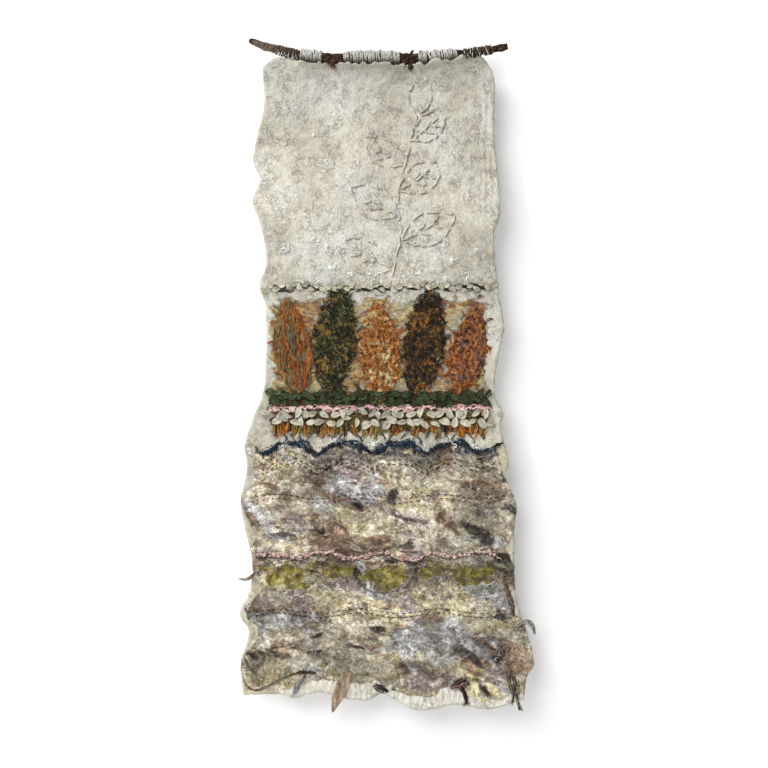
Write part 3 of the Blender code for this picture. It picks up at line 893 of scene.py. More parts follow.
def felt_marks(along, down, inside, back):
    """Where each kind of wool lies, for the front's points and then those of the back that it keeps."""

    def both(field):
        return np.concatenate([field.ravel(), field[back].ravel()])

    def only_front(field):
        return np.concatenate([field.ravel(), 0 * field[back].ravel()])

    def drifting(name, more=0.0):
        return both(drift(along, down, *DRIFT_SIZES[name]) + more)

    marl = marl_cover(along, down)
    upper = smooth((0.67 - down) / 0.06)
    middle = 1.1 * smooth((down - 0.735) / 0.03) * smooth((0.815 - down) / 0.03) - 0.3
    # painted shade: the crease mark darkens the hollows of the crimps and the rounded rim of the outline
    valley = smooth((-crimps(along, down) - 0.00035) / 0.0009)
    fold = smooth((0.004 - inside) / 0.004) * 0.15
    straw = smooth((down - 0.50) / 0.04) * smooth(0.55 + noise(along / 0.03, down / 0.045, 59))
    return {
        "marl": both(marl),
        "wash": only_front(wash_at(along, down)),
        "oval": only_front(oval_at(along, down)),
        "ground": only_front(ground_at(along, down)),
        "gold": drifting("gold", 0.6 * smooth((down - 0.800) / 0.040) - 0.25 * upper),
        "warm": drifting("warm", 0.40 * upper),
        "dusk": drifting("dusk"),
        "cool": drifting("cool", 0.6 * middle),
        "plum": drifting("plum"),
        "rim": both(smooth((0.005 - inside) / 0.004) * (1 - 0.8 * marl)),
        "tan": both(tan_share(along, down)),
        # painted shade in the crimp hollows and along the rounded edge
        "crease": both((0.12 + 0.30 * marl) * valley + fold),
        "straw": both(0.65 * straw),
        "rib": both(hem_share(along, down)),
        # painted shade: darker towards the top, under the branch
        "top_shade": both(smooth((0.105 - down) / 0.09)),
    }


def make_felt():
    """The panel: a closed sheet that follows the construction's outline and drape."""
    across, along_it = FELT_CELLS
    u, v = np.meshgrid(spaced(across, FELT_SIZE[0]), spaced(along_it, FELT_SIZE[1]))
    along, down = outline_place(u, v)
    inside = np.minimum.reduce([
        along - left_edge(down), right_edge(down) - along,
        down - top_edge(along), bottom_edge(along) - down,
    ])
    edge = np.minimum.reduce([u, 1 - u]) == 0
    edge |= np.minimum.reduce([v, 1 - v]) == 0
    inside = np.where(edge, 0.0, np.maximum(inside, 0.0))
    round_off = np.sqrt(1 - (1 - np.clip(inside / EDGE_ROUND, 0, 1)) ** 2)
    relief = lumps(along, down) + crimps(along, down)
    calm = smooth(inside / 0.006)
    lip = 0.0007 * smooth(inside / 0.002) * smooth((0.008 - inside) / 0.005)
    half_thick = FELT_THICK / 2 - EDGE_THICK
    ahead = EDGE_THICK + round_off * (half_thick + calm * relief + lip)
    middle = drape(along, down)
    front_grid = np.stack([along, middle - ahead, -down], axis=-1)

    back = (slice(None, None, 2), slice(None, None, 2))
    x, z = along[back], down[back]
    back_relief = 0.0005 * noise(x / 0.012, z / 0.015, 61) + 0.0005 * noise(x / 0.03, z / 0.03, 62)
    behind = EDGE_THICK + round_off[back] * (half_thick + back_relief)
    back_grid = np.stack([x, middle[back] + behind, -z], axis=-1)
    points, faces = sheet_points(front_grid, back_grid)
    return make_piece("felt", points, faces, felt_look(), felt_marks(along, down, inside, back))


# ------------------------------------------------------------ tucks, curls and loose wool on the panel

def line_on(felt_line, forward):
    """A line of (along, down) rows as points in front of the felt."""
    felt_line = np.asarray(felt_line, float)
    return front(felt_line[..., 0], felt_line[..., 1], forward)


def leaf_side(base, tip, bulge, count):
    """One side of a leaf outline from its base to its tip."""
    base, tip = np.array(base), np.array(tip)
    t = np.linspace(0, 1, count)[:, None]
    out = np.array((tip - base)[::-1]) * (-1, 1)
    return base + (tip - base) * t + out * bulge * np.sin(np.pi * t) ** 0.9


def sprig_lines():
    """The sprig as lines of (along, down): a stem, six leaves with ribs, and a leaf at the top."""
    stem_down = np.linspace(MOTIF_STEM[0][0], MOTIF_STEM[-1][0], 60)
    stem = pair(follow(MOTIF_STEM[::-1], stem_down)[..., 0], stem_down)
    lines = [stem]
    for k, at in enumerate((4, 14, 23, 32, 41, 50)):
        base = stem[at]
        side = 1 if k % 2 else -1
        reach, rise = 0.080 - 0.0066 * k, 0.034 + 0.001 * k
        tip = base + (side * reach, -rise)
        lines.append(leaf_side(base, tip, 0.30 * side, 34))
        lines.append(leaf_side(base, tip, -0.24 * side, 34))
        lines.append(leaf_side(base, mix(base, tip, 0.78), 0.03 * side, 24))
        for part in (0.32, 0.55):
            rib = mix(base, tip, part)
            lines.append(leaf_side(rib, rib + (side * 0.013, -0.016), 0.05 * side, 12))
            lines.append(leaf_side(rib, rib + (side * 0.019, 0.004), 0.05 * side, 12))
    top = stem[-1] + (0.008, -0.052)
    lines.append(leaf_side(stem[-1], top, 0.30, 30))
    lines.append(leaf_side(stem[-1], top, -0.30, 30))
    return lines


def make_tucks(look, wool):
    """A tone-on-tone sprig: broken raised tucks of cream felt, each with a thin dark thread at its lower
    right, partly stitching and partly painted shadow of the tuck.
    """
    rng = np.random.default_rng(71)
    lips, creases = Strands(5), Strands(3)
    for outline in sprig_lines():
        at = rng.integers(0, 2)
        while at < len(outline) - 4:
            length = int(rng.integers(5, 12))
            part = outline[at:at + length]
            at += length + int(rng.integers(0, 3))
            if len(part) < 4:
                continue
            t = np.linspace(0, len(part) - 1, 20)
            k = np.minimum(t.astype(int), len(part) - 2)
            part = part[k] + (part[k + 1] - part[k]) * (t - k)[:, None]
            seed = rng.random() * 90
            wobble = pair(noise(t / 2.6, seed, 72), noise(t / 2.2, seed, 73))
            part = part + 0.0013 * wobble + rng.normal(0, 0.0008, 2)
            ends = np.sin(np.pi * np.linspace(0.03, 0.97, 20)) ** 0.6
            swell = ends * (1 + 0.35 * noise(t / 1.6, seed, 74))
            lips.add([line_on(part + (-0.0005, -0.0007), 0.0008)], 0.00190 * swell, 0.5)
            # partly painted shadow: a dark thread on the lower right of each lip, where its shadow falls
            creases.add([line_on(part + (0.0010, 0.0013), 0.0004)], 0.00040 * swell, tone("taupe"))
    return [lips.piece("felt_tucks", look), creases.piece("tuck_shade_threads", wool)]


def settled(x, z, step, turn):
    """Lines that turn like this from step to step, each with its middle at its own place."""
    along, down = np.cumsum(step * np.cos(turn), axis=1), np.cumsum(step * np.sin(turn), axis=1)
    along += np.reshape(x, (-1, 1)) - along.mean(axis=1, keepdims=True)
    down += np.reshape(z, (-1, 1)) - down.mean(axis=1, keepdims=True)
    return along, down


def boucle(rng, strands, x, z, colours, length, radius, lift, thick, count=11):
    """Tight little curls of wool, one at each place."""
    many = len(x)
    bend = rng.choice((-1, 1), (many, 1)) * rng.uniform(0.40, 0.85, (many, 1))
    flip = np.where(np.arange(count) < rng.uniform(0.4, 1.3, (many, 1)) * count, 1, -1)
    turn = rng.uniform(0, 2 * np.pi, (many, 1))
    turn = turn + np.cumsum(bend * flip + rng.normal(0, 0.12, (many, count)), axis=1)
    step = length / count * rng.uniform(0.6, 1.3, (many, 1))
    along, down = settled(x, z, step, turn)
    forward = lift + thick * rng.random((many, 1)) * np.sin(np.linspace(0.3, 2.9, count))
    radii = radius * rng.uniform(0.7, 1.3, (many, 1)) * np.sin(np.linspace(0.35, 2.8, count)) ** 0.5
    strands.add(front(along, down, forward), radii, tone(*rng.choice(colours, many)))


CURL_DRIFTS = (  # start and stop (along, down), how far it bows, how many groups
    ((-0.140, 0.196), (-0.030, 0.262), 0.016, 8), ((-0.138, 0.250), (0.000, 0.296), 0.014, 9),
    ((0.040, 0.300), (0.142, 0.262), -0.010, 7), ((-0.110, 0.060), (-0.050, 0.160), 0.012, 4),
    ((-0.140, 0.300), (0.134, 0.304), 0.000, 12), ((-0.142, 0.523), (0.138, 0.520), 0.000, 14),
)


def make_curls(wool):
    """Small curly white locks felted into the cream ground, in drifts."""
    rng = np.random.default_rng(81)
    curls = Strands(3)
    places = []
    for start, stop, bow, many in CURL_DRIFTS:
        t = (np.arange(many) + rng.random(many) * 0.8) / many
        way = np.array(start) + np.outer(t, np.array(stop) - start)
        way[:, 1] += bow * np.sin(np.pi * t)
        places.append(way + rng.normal(0, 0.0055, (many, 2)))
    places = np.repeat(np.concatenate(places), rng.integers(1, 4, sum(len(some) for some in places)), axis=0)
    many, count = len(places), 18
    k = np.arange(count) + rng.uniform(0, 9, (many, 1))
    swing = rng.uniform(1.2, 2.0, (many, 1)) * np.sin(2 * np.pi * k / rng.uniform(8.0, 12.0, (many, 1)))
    turn = rng.uniform(0, 2 * np.pi, (many, 1)) + swing
    turn = turn + np.cumsum(rng.normal(0, 0.10, (many, count)), axis=1)
    step = rng.uniform(0.0010, 0.0016, (many, 1))
    spots = places + rng.normal(0, 0.0030, places.shape)
    along, down = settled(spots[:, 0], spots[:, 1], step, turn)
    forward = 0.0009 + 0.0022 * rng.random((many, 1)) * np.sin(np.linspace(0.3, 2.9, count))
    radii = rng.uniform(0.00050, 0.00080, (many, 1)) * np.sin(np.linspace(0.35, 2.8, count)) ** 0.5
    curls.add(front(along, down, forward), radii, tone("bright"))
    return curls.piece("white_curls", wool)


def wandering(rng, many, length, spread, bend, count):
    """Many wandering lines from nothing, lying mostly along X."""
    heading = rng.normal(0, spread, (many, 1)) + np.cumsum(rng.normal(0, bend, (many, count)), axis=1)
    step = length[:, None] / count
    return pair(np.cumsum(step * np.cos(heading), 1), np.cumsum(step * np.sin(heading), 1))


def wisp(rng, strands, path, wide, many, colours, lift, thick, radius, wave, curl, count):
    """A lock of loose wool along a path of (along, down): many crimped fibres side by side."""
    far = distance_along(path)
    first, last = rng.beta(1.0, 2.4, (many, 1)) * 0.45, 1 - rng.beta(1.0, 2.4, (many, 1)) * 0.45
    t = first + (last - first) * np.linspace(0, 1, count)
    at = t * far[-1]
    x, z = np.interp(at, far, path[:, 0]), np.interp(at, far, path[:, 1])
    way = unit(np.gradient(path, axis=0))
    way_x, way_z = np.interp(at, far, way[:, 0]), np.interp(at, far, way[:, 1])
    place = np.clip(rng.normal(0, 0.52, (many, 1)), -1.3, 1.3)
    swell = 0.22 + 0.78 * np.sin(np.pi * t) ** 0.7
    off = wide / 2 * (place + 0.45 * noise(t * 3, place * 4 + 9, any_seed(rng))) * swell
    off += wave * noise(at / 0.0042, place * 1.2 + 5, any_seed(rng))
    hook = smooth((t - 0.68) / 0.32) ** 1.5
    off += curl * hook * rng.normal(0.6, 0.8, (many, 1))
    up = np.sqrt(np.maximum(1 - place ** 2, 0.05)) * np.sin(np.pi * np.clip(t, 0.04, 0.96)) ** 0.5
    forward = lift + thick * up * rng.uniform(0.35, 1.0, (many, 1))
    ends = 0.35 + 0.65 * np.sin(np.linspace(0.12, 3.02, count)) ** 0.6
    radii = radius * rng.uniform(0.6, 1.35, (many, 1)) * ends
    strands.add(front(x - way_z * off, z + way_x * off, forward), radii, tone(*rng.choice(colours, many)))


def flowing(rng, x, z, length, lean, bend):
    """A wandering path of 9 points centred on (x, z)."""
    heading = lean + np.cumsum(rng.normal(0, bend, 9))
    path = pair(np.cumsum(np.cos(heading)), np.cumsum(np.sin(heading))) * length / 9
    return path - path.mean(axis=0) + (x, z)


MARL_WOOLS = (  # the mark it goes with, how many locks, colours
    ("gold", 20, ("cream", "white", "cream", "mustard", "taupe")),
    ("warm", 22, ("brown", "mauve", "taupe", "mauve", "plum")),
    ("cool", 14, ("white", "grey", "stone", "white", "slate")),
)
DARK_SPOTS = 15


def make_marl_fibres(wool):
    """Locks of loose wool that lie in the marled ground where its own colour is, and ragged dark tufts."""
    rng = np.random.default_rng(91)
    fibres = Strands(3)

    def places(name, least, many):
        x, z = rng.uniform(-0.165, 0.175, 4000), rng.uniform(0.530, 0.862, 4000)
        kept = (marl_cover(x, z) > 0.6) & (drift(x, z, *DRIFT_SIZES[name]) > least) & (oval_at(x, z) < 0.3)
        return [(x[k], z[k]) for k in np.flatnonzero(kept)[:many]]

    for name, many, colours in MARL_WOOLS:
        for x, z in places(name, 0.9, many):
            length, lean = rng.uniform(0.014, 0.036), rng.normal(0.15, 0.35)
            path = flowing(rng, x, z, length=length, lean=lean, bend=0.16)
            wisp(
                rng, fibres, path, rng.uniform(0.003, 0.008), 8, colours, lift=0.0000, thick=0.0006,
                radius=0.00032, wave=0.0008, curl=0.0010, count=10,
            )
    for x, z in places("dusk", 1.1, DARK_SPOTS):
        many = int(rng.integers(14, 34))
        lean = rng.normal(-0.2, 0.4)
        far, aside = rng.normal(0, rng.uniform(0.0030, 0.0065), many), rng.normal(0, 0.0018, many)
        spot_x = x + far * math.cos(lean) - aside * math.sin(lean)
        spot_z = z + far * math.sin(lean) + aside * math.cos(lean)
        boucle(
            rng, fibres, spot_x, spot_z, ("black", "brown", "black", "grey"), length=0.0075, radius=0.00034,
            lift=0.0001, thick=0.0010, count=8,
        )
    return fibres.piece("marl_fibres", wool)


# ------------------------------------------------------------ the leaves

LEAF_CELLS = (44, 110)  # across and along, on a leaf's front
LEAF_LOOKS = {  # node: kind of wool, dark, middle, light, accent, and the colours of its loose wool
    "leaf_rust": (
        "wavy", (0.045, 0.016, 0.008), (0.18, 0.065, 0.018), (0.34, 0.20, 0.085), (0.20, 0.175, 0.105),
        (
            ("rust", "rust", "orange"), ("moss", "olive", "moss"), ("ochre", "orange", "ochre"),
            ("brown", "plum", "brown"),
        ),
    ),
    "leaf_olive": (
        "curly", (0.007, 0.009, 0.005), (0.026, 0.027, 0.010), (0.15, 0.115, 0.035), (0.26, 0.15, 0.035),
        (
            ("black", "black", "green"), ("olive", "black", "moss"), ("black", "olive", "black"),
            ("ochre", "ochre", "olive", "moss"),
        ),
    ),
    "leaf_ochre": (
        "nubby", (0.070, 0.022, 0.008), (0.26, 0.095, 0.024), (0.48, 0.25, 0.090), (0.66, 0.53, 0.27),
        (("rust", "orange", "rust"), ("orange", "ochre"), ("rust", "brown"), ("brown", "plum", "black")),
    ),
    "leaf_bark": (
        "curly", (0.007, 0.006, 0.005), (0.032, 0.020, 0.010), (0.18, 0.085, 0.024), (0.30, 0.13, 0.028),
        (
            ("black", "brown", "black"), ("brown", "black", "black"), ("olive", "moss", "black"),
            ("ochre", "orange", "rust"),
        ),
    ),
    "leaf_copper": (
        "nubby", (0.055, 0.018, 0.009), (0.22, 0.075, 0.022), (0.44, 0.21, 0.085), (0.17, 0.090, 0.085),
        (("orange", "rust", "rust"), ("rust", "brown"), ("orange", "ochre"), ("plum", "plum", "black")),
    ),
}
LEAF_FORMS = {  # kind: its ragged outline, the height of its knots, and how far its fibres run
    "wavy": (0.07, 0.0006, 3.6), "curly": (0.12, 0.0009, 1.4), "nubby": (0.11, 0.0015, 1.1),
}


def leaf_place(leaf, across, rise):
    """(along, down) of a place on a leaf: across from its midrib and rise from its middle, in metres."""
    _, along, down, _, _, lean = leaf
    turn = math.radians(lean)
    x = along + across * math.cos(turn) + rise * math.sin(turn)
    return x, down - rise * math.cos(turn) + across * math.sin(turn)


def make_leaf(number, leaf, fibres):
    """A leaf-shaped patch of felt with streaks, knots and veins, and its loose wool in fibres."""
    node, _, _, length, width, _ = leaf
    kind, dark, middle, light, accent, wools = LEAF_LOOKS[node]
    rag, high, run = LEAF_FORMS[kind]
    u, v = np.meshgrid(spaced(LEAF_CELLS[0], width, 0.0004), spaced(LEAF_CELLS[1], length, 0.0005))
    far_side = (u > 0.5) * 5.3
    rag_side = 1 + rag * noise(v * 9, far_side, 101 + number)
    rag_side = rag_side + 0.8 * rag * noise(v * 26, far_side, 111 + number)
    half = np.maximum(0.0016, width / 2 * np.sin(np.pi * v) ** 0.8) * rag_side
    rise = (0.5 - v) * length * (1 + 0.035 * noise(u * 7, 0.0, 121 + number))
    across = (2 * u - 1) * half
    x, z = leaf_place(leaf, across, rise)
    inside = np.minimum((1 - abs(2 * u - 1)) * half, np.minimum(v, 1 - v) * length)
    swell = np.sqrt(1 - (1 - np.clip(inside / 0.0035, 0, 1)) ** 2)
    streaks = 0.00055 * noise(across / 0.0024, rise / (0.0042 * run), 131 + number)
    knots = high * noise(across / 0.0052, rise / 0.0064, 141 + number)
    slanted = (rise - abs(across) * 0.9) / 0.0024 + 1.5 * noise(across / 0.01, rise / 0.01, 151 + number)
    veins = 0.00030 * np.sin(slanted) * smooth((abs(across) - 0.002) / 0.004)
    rib = 0.0008 * np.exp(-(across / 0.0016) ** 2)
    ahead = 0.0004 + swell * np.maximum(0.0015 + streaks + knots + veins + rib, 0.0002)
    front_grid = front(x, z, 0.0004 + ahead)
    back_grid = front(x[::2, ::2], z[::2, ::2], 0.0003)
    points, faces = sheet_points(front_grid, back_grid)
    # painted shade: the crease mark is darker where the streaks, knots and veins sink
    crease = smooth(-(streaks + knots + veins) / 0.0012)
    marks = {"crease": np.concatenate([crease.ravel(), crease[::2, ::2].ravel()])}
    look = leaf_look(node + "_wool", dark, middle, light, accent, run)
    piece = make_piece(node + "_felt", points, faces, look, marks)
    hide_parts(node)

    rng = np.random.default_rng(160 + number)
    if kind == "wavy":
        wavy_locks(rng, leaf, wools, fibres)
    else:
        curly_wool(rng, leaf, wools, fibres, many=460 if kind == "curly" else 130)
    edge_wisps(rng, leaf, wools, fibres)
    return piece


def leaf_half(leaf, rises):
    """Half the leaf's width at this part of its length."""
    return np.sqrt(np.cos(np.pi * np.clip(rises, -0.49, 0.49))) * leaf[4] / 2 + 0.0008


def wavy_locks(rng, leaf, wools, fibres):
    """Long silky locks that wave up a leaf, each of one colour."""
    length = leaf[3]
    for _ in range(58):
        low = rng.uniform(-0.52, 0.16)
        rises = np.linspace(low, min(low + rng.uniform(0.30, 0.55), 0.56), 22)
        place = rng.uniform(-0.94, 0.94)
        wave = np.sin(2 * np.pi * rises * length / 0.0155 + 3.2 * place + rng.normal(0, 0.6))
        sway = rng.uniform(0.0004, 0.0014) * wave + 0.0042 * noise(rises * length / 0.0125, place * 2.6, 179)
        path = pair(*leaf_place(leaf, place * leaf_half(leaf, rises) + sway, rises * length))
        group = noise(place * 2.1, low * 3.0, 178) + rng.normal(0, 0.22)
        names = wools[int(np.searchsorted((-0.02, 0.30, 0.46), group))]
        wide = rng.uniform(0.0024, 0.0052)
        wisp(
            rng, fibres, path, wide, 7, names, lift=0.0016, thick=0.0028, radius=0.00054, wave=0.0010,
            curl=0.0040, count=18,
        )


def curly_wool(rng, leaf, wools, fibres, many):
    """Curls of loose wool all over a leaf, some past its outline."""
    rises = rng.uniform(-0.50, 0.50, many)
    across = rng.uniform(-1.06, 1.06, many) * leaf_half(leaf, rises)
    x, z = leaf_place(leaf, across, rises * leaf[3])
    group = np.searchsorted((-0.10, 0.34, 0.62), noise(x / 0.013, z / 0.018, 176) + rng.normal(0, 0.16, many))
    for k, names in enumerate(wools):
        here = group == k
        if here.any():
            boucle(
                rng, fibres, x[here], z[here], names, length=0.0125, radius=0.00066, lift=0.0014,
                thick=0.0030, count=11,
            )


def edge_wisps(rng, leaf, wools, fibres):
    """Curled ends that leave the leaf's outline."""
    length = leaf[3]
    for side in (-1, 1):
        for rise in np.linspace(-0.42, 0.44, 10) + rng.normal(0, 0.03, 10):
            edge = float(leaf_half(leaf, rise)) - 0.005
            t = np.linspace(0, 1, 9)
            across = side * (edge + (0.004 + 0.010 * rng.random()) * t)
            rises = rise * length + (0.008 + 0.008 * rng.random()) * t * rng.choice((-0.4, 1.0))
            path = pair(*leaf_place(leaf, across, rises))
            wisp(
                rng, fibres, path, 0.0030, 5, wools[int(rng.integers(0, 2))], lift=0.0006, thick=0.0012,
                radius=0.00042, wave=0.0006, curl=0.0034, count=10,
            )


# ------------------------------------------------------------ yarn rows, stitches, petals and scraps

# how far down each row lies
CHAIN_DOWN = 0.311
GREEN_ROWS = ((0.4570, 0.0), (0.4625, 0.0041), (0.4672, 0.0083))  # and its shift along
PINK_DOWN = 0.4765
PETALS_DOWN = 0.4895
FRINGE_DOWN = 0.4915
KNOTS_DOWN = 0.676
STITCH_ROWS = ((0.596, "black"), (0.6015, "red"), (0.752, "black"), (0.7575, "black"))

NAVY_WOOLS = ("navy", "navy", "black", "teal", "navy", "slate")
THIN_NAVY_WOOLS = ("black", "navy", "black")
FRINGE_WOOLS = (("rust", "orange", "ochre"), ("ochre", "olive", "moss"), ("brown", "ochre", "black"))
DRIFT_WOOLS = (  # between the leaves: colours, and the share of the drifts that have them
    (("orange", "ochre", "rust"), 0.38), (("mustard", "cream", "ochre"), 0.30),
    (("plum", "mauve", "rust"), 0.16), (("black", "olive", "brown"), 0.16),
)


def even(line, step):
    """The same line with points this far apart, and how far along it each lies."""
    far = distance_along(line)
    at = np.linspace(0, far[-1], max(4, int(far[-1] / step)))
    return pair(np.interp(at, far, line[:, 0]), np.interp(at, far, line[:, 1])), at


def row_line(first, last, down, wave, pitch, shift=0.0):
    """A gently waving line across the panel."""
    x = np.linspace(first, last, 400)
    return pair(x, down + wave * np.sin(2 * np.pi * (x - shift) / pitch))


def slub_yarn(rng, strands, line, colours, plies, radius, wander, fuzz, seed):
    """A soft yarn that swells and thins along a line, its plies lying loosely together."""
    lift = 0.0006
    line, at = even(line, 0.0016)
    aside = aside_of(line)
    swell = 1 + 0.42 * noise(at / 0.014, seed, seed) + 0.25 * noise(at / 0.005, seed, seed + 1)
    for ply in range(plies):
        turn = at / 0.0036 + ply * 2 * np.pi / plies + 1.2 * noise(at / 0.02, ply, seed + 2)
        off = wander * (np.cos(turn) * 0.7 + 0.8 * noise(at / 0.006, ply * 3.1, seed + 3))
        forward = lift + radius * (1.1 + 0.8 * np.sin(turn))
        places = line + aside * off[:, None]
        thick = radius * np.clip(swell * (1 + 0.2 * noise(at / 0.004, ply * 5.3, seed + 4)), 0.35, 1.8)
        strands.add([front(places[:, 0], places[:, 1], forward)], thick, tone(colours[ply % len(colours)]))
    many = int(fuzz * at[-1] / 0.010)
    pick = rng.integers(0, len(line), many)
    lines = wandering(rng, many, length=rng.uniform(0.004, 0.012, many), spread=1.2, bend=0.5, count=9)
    lines = lines - lines[:, 4:5] + line[pick][:, None]
    forward = lift + 0.0012 * rng.random((many, 1)) * np.sin(np.linspace(0.2, 2.9, 9))
    strands.add(line_on(lines, forward), 0.00020, tone(*rng.choice(colours, many)))


def knot(rng, strands, x, z, size, colours, radius, turns):
    """A small soft rosette of yarn."""
    t = np.linspace(0, 1, 30)
    turn = rng.random() * 6.3 + t * turns * 2 * np.pi
    wide = size * (1.0 - 0.72 * t) * (1 + 0.15 * np.sin(3 * turn))
    line = pair(x + wide * np.cos(turn), z + 0.8 * wide * np.sin(turn))
    thick = radius * (0.7 + 0.5 * np.sin(np.pi * t))
    strands.add([line_on(line, 0.0010 + 0.0026 * t)], thick, tone(str(rng.choice(colours))))


def looped(rng, strands, line, colours, size, step, radius, lift=0.0012):
    """A ribbon of yarn laid in uneven loops along a line."""
    line, at = even(line, 0.0007)
    aside, way = aside_of(line), unit(np.gradient(line, axis=0))
    turn = 2 * np.pi * at / step + 1.8 * noise(at / (2.2 * step), 0.5, any_seed(rng))
    big = size * (0.75 + 0.55 * noise(at / (1.7 * step), 3.5, any_seed(rng)))
    places = line + aside * (big * np.sin(turn))[:, None] + way * (0.9 * big * np.cos(turn))[:, None]
    forward = lift + 0.0012 * (1 + np.sin(turn * 0.5 + 1.0))
    thick = radius * (1 + 0.35 * noise(at / 0.0030, 7.5, any_seed(rng)))
    strands.add([line_on(places, forward)], thick, tone(str(rng.choice(colours))))


def pink_row(rng, pink):
    """Two looped pink yarns over a dark one, with knots, between the green scraps and the petals."""
    line = row_line(-0.152, 0.152, down=PINK_DOWN, wave=0.0020, pitch=0.075)
    slub_yarn(rng, pink, line, ("plum", "black"), 2, radius=0.00080, wander=0.0026, fuzz=4, seed=210)
    looped(rng, pink, line + (0.0, -0.0006), ("pink",), size=0.0028, step=0.0098, radius=0.00120)
    looped(
        rng, pink, line + (0.003, 0.0012), ("blush",), size=0.0024, step=0.0121, radius=0.00110,
        lift=0.0022,
    )
    for x in (-0.141, -0.118, -0.094, -0.071, -0.034, -0.008, 0.022, 0.040, 0.058, 0.091, 0.112, 0.137):
        down = PINK_DOWN - 0.0005 + 0.0020 * math.sin(2 * math.pi * x / 0.075) + rng.normal(0, 0.0008)
        knot(
            rng, pink, x, down, size=rng.uniform(0.0042, 0.0062), colours=("pink", "blush"),
            radius=0.00140, turns=2.2,
        )


def knotted_row(rng, pink):
    """A wandering row of small pale knots on dark ones, across the marled field."""
    line = row_line(-0.168, 0.166, down=KNOTS_DOWN, wave=0.0046, pitch=0.071, shift=0.016)
    line[:, 1] += 0.0060 * noise(line[:, 0] / 0.034, 0.5, 231) + 0.0016 * noise(line[:, 0] / 0.009, 0.5, 232)
    slub_yarn(rng, pink, line, ("plum", "brown"), 2, radius=0.00070, wander=0.0028, fuzz=5, seed=220)
    looped(rng, pink, line, ("blush",), size=0.0018, step=0.0061, radius=0.00055, lift=0.0010)
    at = -0.165
    while at < 0.163:
        size = rng.uniform(0.0016, 0.0040)
        down = float(np.interp(at, line[:, 0], line[:, 1])) + rng.normal(0, 0.0016)
        knot(
            rng, pink, at + 0.0004, down + 0.0006, size=1.25 * size, colours=("plum", "brown"),
            radius=0.00060, turns=1.1,
        )
        knot(
            rng, pink, at, down - 0.0003, size=size,
            colours=("blush", "blush", "cream", "blush", "pink"), radius=0.00070, turns=1.7,
        )
        at += size + rng.uniform(0.0006, 0.0046)


def navy_rows(rng, navy):
    """Dark loose wool where the marled field starts, and a thinner dark row just below."""
    many = 96
    for k in range(many):
        x = np.linspace(0, rng.uniform(0.008, 0.018), 8) - 0.168 + 0.325 * (k + rng.random()) / many
        thick = float(smooth(0.45 + 1.6 * noise(x[4] / 0.021, 0.5, 242)) * smooth((0.165 - abs(x[4])) / 0.03))
        off = 0.001 + rng.normal(0, 0.0006 + 0.0028 * thick) + 0.0018 * noise(x / 0.005, k, 241)
        path = pair(x, marl_top(x) + off)
        wisp(
            rng, navy, path, 0.0020 + 0.0048 * thick, 5 + int(6 * thick),
            NAVY_WOOLS if thick > 0.4 else THIN_NAVY_WOOLS, lift=0.0006,
            thick=0.0012 + 0.0022 * thick, radius=0.00052, wave=0.0010, curl=0.0018, count=9,
        )
    x = rng.uniform(-0.168, 0.164, 330)
    boucle(
        rng, navy, x, marl_top(x) + 0.002 + rng.normal(0, 0.0028, 330),
        ("navy", "black", "black", "teal"), length=0.0110, radius=0.00042, lift=0.0006, thick=0.0024,
        count=10,
    )
    x = rng.uniform(-0.165, 0.160, 260)
    low = marl_top(x) + 0.014 + 0.003 * noise(x / 0.03, 0.5, 28) + rng.normal(0, 0.0016, 260)
    boucle(
        rng, navy, x, low, ("black", "grey", "black", "slate"), length=0.0120, radius=0.00030,
        lift=0.0004, thick=0.0012, count=9,
    )


def make_yarns(wool):
    """The pink and the dark yarns, which share one run of random draws."""
    rng = np.random.default_rng(201)
    pink, navy = Strands(5), Strands(3)
    pink_row(rng, pink)
    knotted_row(rng, pink)
    navy_rows(rng, navy)
    return [pink.piece("pink_yarn", wool), navy.piece("navy_yarn", wool)]


def stitch_row(rng, strands, line, colour, length, gap, radius):
    """Running stitches along a line."""
    line, at = even(line, 0.0004)
    start = 0.0
    while start + length < at[-1]:
        long = length * rng.uniform(0.75, 1.2)
        t = np.linspace(start, start + long, 7)
        places = pair(np.interp(t, at, line[:, 0]), np.interp(t, at, line[:, 1]))
        forward = -0.0004 + 0.0013 * np.sin(np.linspace(0.0, np.pi, 7)) ** 0.5
        strands.add([line_on(places, forward)], radius, tone(colour))
        start += long + gap * rng.uniform(0.7, 1.3)


def make_stitches(wool):
    """Rows of stitches below the marled field's top and across it, and a ring round each oval."""
    rng = np.random.default_rng(261)
    stitches = Strands(5)
    x = np.linspace(-0.160, 0.158, 500)
    for drop in (0.023, 0.029):
        line = pair(x, marl_top(x) + drop)
        stitch_row(rng, stitches, line, "black", length=0.0046, gap=0.0034, radius=0.00058)
    for down, colour in STITCH_ROWS:
        line = row_line(-0.168, 0.172, down=down, wave=0.0032, pitch=0.110)
        stitch_row(rng, stitches, line, colour, length=0.0044, gap=0.0034, radius=0.00050)
    turn = np.linspace(0, 2 * np.pi, 200)
    for x0, z0, half_long, half_high in OVALS:
        ring = pair(x0 + (half_long + 0.004) * np.cos(turn), z0 + (half_high + 0.004) * np.sin(turn))
        stitch_row(rng, stitches, ring, "olive", length=0.0036, gap=0.0028, radius=0.00042)
    return stitches.piece("stitches", wool)


